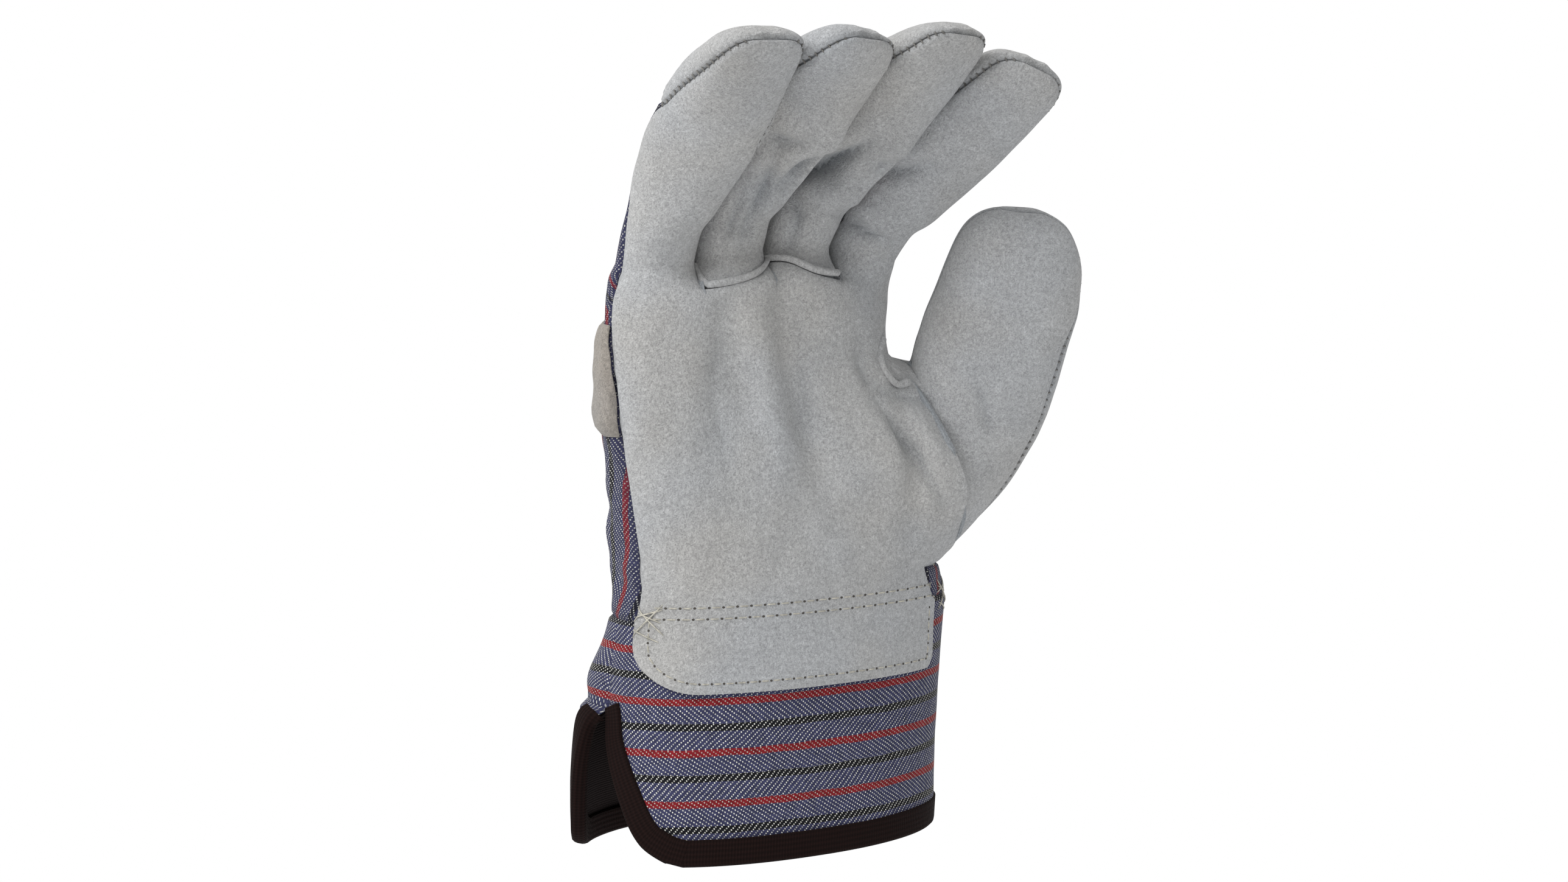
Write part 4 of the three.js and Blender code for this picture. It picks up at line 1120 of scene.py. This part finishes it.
class Skin:
    """The outer faces of the finished panels, for laying thread on them."""

    def __init__(self, parts):
        points, faces = [], []
        for outer, local in parts:
            offset = len(points)
            points += [Vector(point) for point in outer]
            faces += [[offset + i for i in dict.fromkeys(face)] for face in local.tolist()]
        self.tree = BVHTree.FromPolygons(points, faces)

    def at(self, point):
        spot, normal, _, _ = self.tree.find_nearest(Vector(point))
        return np.array(spot), np.array(normal)


def evenly(path, pitch):
    """Points at even distances along a path."""
    path = np.asarray(path, float)
    steps = np.linalg.norm(np.diff(path, axis=0), axis=1)
    length = np.concatenate([[0], np.cumsum(steps)])
    marks = np.arange(0, length[-1], pitch)
    return np.stack([np.interp(marks, length, path[:, k]) for k in range(3)], axis=1)


def stitch_paths(skin, path, pitch, share=0.78, rise=0.1, sink=0.5):
    """Lockstitches along a path: each dips into the leather at both ends."""
    marks = evenly(path, pitch)
    found = []
    for a, b in zip(marks[:-1], marks[1:]):
        b = a + (b - a) * share
        stitch = []
        for t in np.linspace(0, 1, 7):
            spot, normal = skin.at(a + (b - a) * t)
            stitch.append(spot + normal * (rise - (rise + sink) * abs(2 * t - 1) ** 3))
        found.append(stitch)
    return found


def needle_holes(name, skin, path, pitch, radius, finish, share=0.78):
    """The pits where the needle went through, at both ends of each stitch's gap, as dark plugs: painted shade
    for the hollow of each hole.
    """
    marks = evenly(path, pitch)
    points, faces = [], []
    sides = 8
    for a, b in zip(marks[:-1], marks[1:]):
        spot, normal = skin.at(a + (b - a) * (share + 1) / 2)
        along = unit(b - a)
        beside = unit(np.cross(normal, along))
        along = np.cross(beside, normal)
        offset = len(points)
        for out in (-HOLE_DEPTH, HOLE_RISE):
            for k in range(sides):
                turn = 2 * math.pi * k / sides
                reach = along * math.cos(turn) * (1 - share) * pitch * 0.5 + beside * math.sin(turn) * radius
                points.append(spot + normal * out + reach)
        for k in range(sides):
            far = (k + 1) % sides
            faces.append([offset + k, offset + far, offset + sides + far, offset + sides + k])
        points += [spot - normal * HOLE_DEPTH, spot + normal * HOLE_RISE]
        low, high = len(points) - 2, len(points) - 1
        for k in range(sides):
            far = (k + 1) % sides
            faces.append([offset + far, offset + k, low, low])
            faces.append([offset + sides + k, offset + sides + far, high, high])
    return make_mesh(name, np.array(points), np.array(faces), finish)


def palm_across(across, up):
    """The palm at a place across the whole hand."""
    across, up = np.broadcast_arrays(np.asarray(across, float), np.asarray(up, float))
    found = np.zeros(across.shape + (3,))
    finger = np.clip(np.floor((across + 1) * 2), 0, 3).astype(int)
    for index in range(4):
        here = finger == index
        if here.any():
            found[here] = palm_point(index, (across[here] + 1) * 2 - index, up[here], -1)
    return found


def smooth_line(points, count):
    """A smooth curve through a few points, by Catmull-Rom."""
    points = np.asarray(points, float)
    padded = np.concatenate([[2 * points[0] - points[1]], points, [2 * points[-1] - points[-2]]])
    found = []
    for place in np.linspace(0, len(points) - 1, count):
        i = min(int(place), len(points) - 2)
        t = place - i
        a, b, c, d = padded[i:i + 4]
        square, cube = 2 * a - 5 * b + 4 * c - d, 3 * b - a - 3 * c + d
        found.append(0.5 * (2 * b + (c - a) * t + square * t**2 + cube * t**3))
    return np.array(found)


# The glove

def build_hand(finishes):
    hand = hand_surface()
    away = crease_depth(hand.points, hand.normals)
    uneven = sum(lumps(hand.points, *row) for row in LEATHER_LUMPS)
    calm = smooth(hand.points[:, 2], CUFF_LENGTH - 2, CUFF_LENGTH + 14)
    cloth = (hand.side > 0) & (hand.part == "palm") & (hand.finger < 3)
    on_cloth = np.isin(np.arange(len(hand.points)), hand.faces[cloth])
    pucker = lumps(hand.points, *PUCKERS) + lumps(hand.points * PUCKER_STRETCH, *LONG_PUCKERS)
    pucker = on_cloth * pucker
    hand.press(away + uneven * mix(0.3, 1, calm) + pucker * calm)
    # Painted shade in the creases: the deeper a crease presses in, the darker its colour is painted
    crease_shade = np.maximum(0, away) * CREASE_SHADE
    part, finger, side, row = hand.part, hand.finger, hand.side, hand.row
    front = side < 0
    above_seam = (part == "finger") | ((part == "palm") & (row > FINGER_SEAM))
    set_in = {index: front & (finger == index) & above_seam for index in (1, 2)}
    is_cap = ~front & (part == "finger") & (row > CAP_FROM)
    is_index_back = ~front & (finger == 3) & above_seam & ~is_cap
    is_thumb_back = ~front & (part == "thumb")
    short = (FACETS - FLAP_SHORT) * FINE
    wrist_cloth = front & (part == "palm") & (row < THUMB_FOOT) & (finger == 3) & (hand.column >= short)
    is_back = wrist_cloth | (~front & (part != "thumb") & ~is_index_back & ~is_cap)
    strap_rows = (
        mix(THUMB_FOOT, THUMB_CROTCH, arc_share(5, PALM_SIDE_ROWS)),
        mix(THUMB_CROTCH, FINGER_SEAM, SEAM_ROW_PLACE),
    )
    is_strap = ~front & (part == "palm") & (row > strap_rows[0]) & (row < strap_rows[1])
    soft = finishes["suede"]

    wall = mix(LEATHER, THIN_LEATHER, smooth(hand.points[:, 2], CUFF_LENGTH, CUFF_LENGTH + 10))

    def leather(name, chosen, **more):
        return panel(name, name, hand, chosen, soft, "suede", wall, shade=crease_shade, **more)[1:]

    is_palm = front & ~set_in[1] & ~set_in[2] & ~wrist_cloth
    parts = {"palm": leather("palm", is_palm, cut=lambda points: points[:, 2] < CUFF_LENGTH + 0.5)}
    parts["ring"] = leather("ring_finger_front", set_in[1])
    parts["middle"] = leather("middle_finger_front", set_in[2])
    for index, row_of in enumerate(FINGERS):
        name = row_of["name"] + "_fingertip_cap"
        parts[name] = leather(name, is_cap & (finger == index), puff=CAP_PUFF)
    parts["index_back"] = leather("index_finger_back", is_index_back)
    parts["thumb_back"] = leather("thumb_back", is_thumb_back)
    step_in = CLOTH_LIFT * (1 - smooth(hand.points[:, 2], CUFF_LENGTH, CUFF_LENGTH + CLOTH_RISE))
    # Painted shade: the back cloth is painted darker near its edges, by BACK_EDGE_SHADE
    cloth_back = panel(
        "back", "back", hand, is_back, finishes["cloth"], "striped_cloth", CANVAS,
        lift=step_in, edge=BACK_EDGE_SHADE,
    )
    parts["back"] = cloth_back[1:]
    strap = panel(
        "knuckle_strap", "knuckle_strap", hand, is_strap, finishes["strap"], "suede", LEATHER,
        lift=STRAP_LIFT, puff=STRAP_PUFF,
    )
    parts["strap"] = strap[1:]
    return parts


def build_cuff(finishes):
    columns = np.linspace(0, 1, CUFF_COLUMNS + 1)
    low = SLIT_HEIGHT * np.linspace(0, 1, 45) ** 1.6
    rows = np.concatenate([low, np.linspace(SLIT_HEIGHT, CUFF_LENGTH - 0.2, 22)[1:]])
    start, end = slit_edge(rows, "front")[:, None], 2 * math.pi - slit_edge(rows, "back")[:, None]
    turns = mix(start, end, columns[None])
    grid = cuff_point(turns, rows[:, None])
    spans = np.linalg.norm(np.diff(grid, axis=1), axis=-1)
    around = np.concatenate([np.zeros((len(rows), 1)), np.cumsum(spans, axis=1)], axis=1)
    around = around - around[:, CUFF_COLUMNS // 2:CUFF_COLUMNS // 2 + 1]
    flat = np.stack([around, np.broadcast_to(rows[:, None] - STRIPES_FROM, around.shape)], axis=-1)
    surface = Surface()
    surface.grid(grid, "cuff", 0, -1, rows, flat)
    surface.close()
    surface.press(sum(lumps(surface.points, *row) for row in CUFF_LUMPS))
    whole = np.ones(len(surface.faces), bool)
    cuff = panel("cuff", "cuff", surface, whole, finishes["cloth"], "striped_cloth", CANVAS, lift=CLOTH_LIFT)
    panel(
        "cuff_lining", "cuff_lining", surface, whole, finishes["lining"], "dark_cloth", LINING,
        lift=LINING_LIFT,
    )
    return cuff[1:]


def build_binding(finishes):
    heights = SLIT_HEIGHT * np.linspace(0, 1, 70) ** 2
    heights = heights[heights < SLIT_HEIGHT * 0.99]
    front = [(angle, height) for angle, height in zip(slit_edge(heights[::-1], "front"), heights[::-1])]
    back = [(2 * math.pi - angle, height) for angle, height in zip(slit_edge(heights, "back"), heights)]
    hem = [(turn, 0.0) for turn in np.linspace(front[-1][0], back[0][0], 260)[1:-1]]
    line = front + hem + back
    out, into = CLOTH_LIFT + 0.25, LINING_LIFT - LINING - 0.25
    middle, half, width, tape = (out + into) / 2, (out - into) / 2, BINDING_WIDTH, TAPE
    outer = [(width, out)]
    outer += [(place, out + tape) for place in (width - 0.3, width * 0.66, width * 0.33, 0.4)]
    turned = [
        (-(half + tape) * math.sin(turn) * 0.6, middle + (half + tape) * math.cos(turn))
        for turn in np.radians([20, 45, 70, 90, 110, 135, 160])
    ]
    inner = [(0.4, into - tape), (width * 0.5, into - tape), (width - 0.3, into - tape), (width, into)]
    hollow = [(width * 0.5, into), (0.2, into), (-half * 0.5, middle)]
    hollow += [(place, out) for place in (0.2, width * 0.33, width * 0.66)]
    profile = outer + turned + inner + hollow
    return swept("cuff_binding", "cuff_binding", cuff_point, line, profile, finishes["braid"]), line


def build_welts(finishes):
    """Leather cords in the seam at the finger bases and round the thumb crotch."""
    profile = [
        (-WELT_WIDTH / 2 * math.cos(turn), WELT_FOOT + WELT_HEIGHT * math.sin(turn))
        for turn in np.radians(np.linspace(0, 180, 9))
    ]
    profile = (profile + [(0.6, -0.6), (-0.6, -0.6)])[::-1]
    across = np.linspace(-0.47, 0.47, 90)
    finger_line = np.stack([across, FINGER_SEAM + seam_rise(across, FINGER_SEAM)], axis=-1)
    rise = smooth_line([(-0.492, 0.985), (-0.488, 0.96), (-0.483, 0.94), (-0.47, FINGER_SEAM)], 20)
    finger_line = np.concatenate([rise[:-1], finger_line])
    crotch_line = smooth_line([(0.885, 0.768)] + CROTCH_WELT[1:], 60)
    for name, line in (("finger_base_welt", finger_line), ("thumb_crotch_welt", crotch_line)):
        swept(name, name, palm_across, line, profile, finishes["suede"])


def flap_stitch_line(inset):
    """A row round the flap, inset from its edge."""
    across = np.linspace(*flap_ends(), 160)
    low = flap_hem(across)
    edge = np.stack([across * WRIST_HALF_WIDTH, low], axis=1)
    sides = [np.array([[edge[0, 0], z] for z in np.linspace(CUFF_LENGTH + 1, low[0], 12)])]
    sides += [edge[1:-1], np.array([[edge[-1, 0], z] for z in np.linspace(low[-1], CUFF_LENGTH + 1, 12)])]
    line = np.concatenate(sides)
    line = smooth_line(line[::3], 200)
    along = unit(np.gradient(line, axis=0))
    line = line + np.stack([-along[:, 1], along[:, 0]], axis=1) * inset
    kept = (line[:, 1] < CUFF_LENGTH + 2) & (line[:, 1] > low.min() + inset * 0.8)
    line = line[kept]
    return flap_surface(line[:, 0] / WRIST_HALF_WIDTH, line[:, 1])


def seam_crossings(skin, sewn, edge, start, end):
    """Short threads across the seam between a front and its back or cap, over a part of its length."""
    at = np.linspace(start, end, 120)
    line = sewn(edge, at, -1)
    length = np.concatenate([[0], np.cumsum(np.linalg.norm(np.diff(line, axis=0), axis=1))])
    places = np.interp(np.arange(1.0, length[-1], SEAM_PITCH), length, at)
    inward = 0.006 if edge < 0.5 else -0.006
    found = []
    for place in places:
        ahead = sewn(edge + inward, place, -1)
        behind = sewn(edge + inward, place, 1)
        middle = sewn(edge, place, -1)
        spots = []
        for share in (-1.0, -0.6, -0.2, 0.2, 0.6, 1.0):
            side = ahead if share < 0 else behind
            aim = middle + (side - middle) / max(np.linalg.norm(side - middle), 1e-6) * 0.62 * abs(share)
            spot, normal = skin.at(aim)
            spots.append(spot + normal * (0.12 - 0.6 * max(0, abs(share) - 0.6)))
        found.append(spots)
    return found


def wrist_tacks(parts, cuff):
    """Loose zigzag threads that tack the wrist's ends, over leather and cloth."""
    skin = Skin([parts["palm"], parts["back"], cuff])
    found = []
    for across, reach in ((-0.98, 5.0), (0.88, 4.0)):
        centre = palm_across(across, 0.0)
        along = unit(palm_across(across + 0.01, 0.0) - palm_across(across - 0.01, 0.0))
        for left, low, right, high in TACK_THREADS:
            path = []
            for t in np.linspace(0, 1, 12):
                aim = centre + along * mix(left, right, t) * reach + np.array([0, 0, mix(low, high, t)])
                spot, normal = skin.at(aim)
                path.append(spot + normal * (0.1 + 0.35 * math.sin(math.pi * t)))
            found.append(path)
    return found


def build_stitching(parts, cuff, finishes):
    front = Skin([parts["palm"]])
    cream, hole_shade = finishes["thread"], finishes["hole_shade"]
    rows = {}
    across = np.linspace(-0.97, 0.9, 200)
    for name, height in WRIST_ROWS.items():
        rows[name] = palm_across(across, np.full(across.shape, height / PALM_LENGTH))
    rows["flap"] = flap_stitch_line(FLAP_ROW_INSET)
    for name, path in rows.items():
        pitch = WRIST_PITCH if name in WRIST_ROWS else FLAP_PITCH
        tubes(name + "_stitches", stitch_paths(front, path, pitch), STITCH_RADIUS, cream)
        needle_holes(name + "_needle_holes", front, path, pitch, HOLE_RADIUS, hole_shade)
    crossings = []
    for index, row in enumerate(FINGERS):
        tip = Skin([parts["palm"], parts["ring"], parts["middle"], parts[row["name"] + "_fingertip_cap"]])
        for edge in (0.0, 1.0):
            crossings += seam_crossings(tip, partial(sewn_finger, index), edge, CAP_FROM + 0.01, 0.995)
    thumb = Skin([parts["palm"], parts["thumb_back"]])
    crossings += seam_crossings(thumb, sewn_thumb, 1.0, 0.12, 0.85)
    grey = finishes["dark_thread"]
    tubes("fingertip_seam_stitches", crossings, SEAM_STITCH_RADIUS, grey, sides=5)
    tubes("wrist_tacks", wrist_tacks(parts, cuff), STITCH_RADIUS, cream)


def build_stage():
    """Soft lights round a white studio that is dimmer ahead of the palm and to its right, and the camera."""
    right, up, back = view_axes()
    for name, place, size, watts in LIGHTS:
        offset = right * place[0] + up * place[1] + back * place[2]
        light = bpy.data.lights.new(name, "AREA")
        light.shape, light.size, light.energy = "DISK", size * MM, watts
        lamp = bpy.data.objects.new(name, light)
        lamp.location = Vector((CAMERA_TARGET + offset) * MM)
        lamp.rotation_euler = Vector(-offset).to_track_quat("-Z", "Y").to_euler()
        bpy.context.scene.collection.objects.link(lamp)
    world = bpy.data.worlds.new("studio")
    bpy.context.scene.world = world
    world.use_nodes = True
    g = Graph(world.node_tree)
    toward = g.put("ShaderNodeSeparateXYZ", Vector=g.put("ShaderNodeTexCoord").outputs["Generated"])
    ahead = g.span(toward.outputs["Y"], 0.2, -0.6, soft=True)
    beside = g.span(toward.outputs["X"], -0.3, 0.8, 0.18, 0.45, soft=True)
    background = world.node_tree.nodes["Background"]
    g.feed(background.inputs["Color"], g.blend(g.math("MULTIPLY", ahead, beside), (1, 1, 1, 1), (0, 0, 0, 1)))
    background.inputs["Strength"].default_value = 1.0
    bpy.context.scene.view_settings.view_transform = "Standard"

    lens = bpy.data.cameras.new("camera")
    lens.lens, lens.sensor_width = CAMERA_LENS, 36
    camera = bpy.data.objects.new("camera", lens)
    camera.location = Vector((CAMERA_TARGET + back * CAMERA_DISTANCE) * MM)
    camera.rotation_euler = Vector(-back).to_track_quat("-Z", "Y").to_euler()
    bpy.context.scene.collection.objects.link(camera)
    bpy.context.scene.camera = camera


def corners(box):
    return [list(corner) for corner in box]


def main():
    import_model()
    cad_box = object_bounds()
    GROUPS.update(nap=nap_group(), twill=twill_group(), shade=shade_group())
    finishes = {
        "suede": suede("grey suede", (0.35, 0.352, 0.355, 1)),
        "strap": suede("strap suede", (0.24, 0.217, 0.192, 1), shade=(0.2, 0.18, 0.16, 1)),
        "cloth": striped_cloth(),
        "lining": woven("dark lining", (0.012, 0.009, 0.009, 1), 0.7, 0.7),
        "braid": woven("ribbed braid", (0.005, 0.002, 0.0017, 1), 0.9, 1.45),
        "thread": thread_finish("cream thread", (0.45, 0.43, 0.37, 1)),
        "dark_thread": thread_finish("grey thread", (0.17, 0.165, 0.155, 1)),
        "hole_shade": finish("needle pit", 0.95)[0],
    }
    # Painted shade: the needle holes are coloured near black, for the shade inside them
    hole_shade = finishes["hole_shade"].node_tree.nodes["Principled BSDF"]
    hole_shade.inputs["Base Color"].default_value = (0.06, 0.055, 0.05, 1)
    parts = build_hand(finishes)
    cuff = build_cuff(finishes)
    build_binding(finishes)
    build_welts(finishes)
    build_stitching(parts, cuff, finishes)
    build_stage()
    {"cad": corners(cad_box), "visual": corners(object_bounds())}


main()
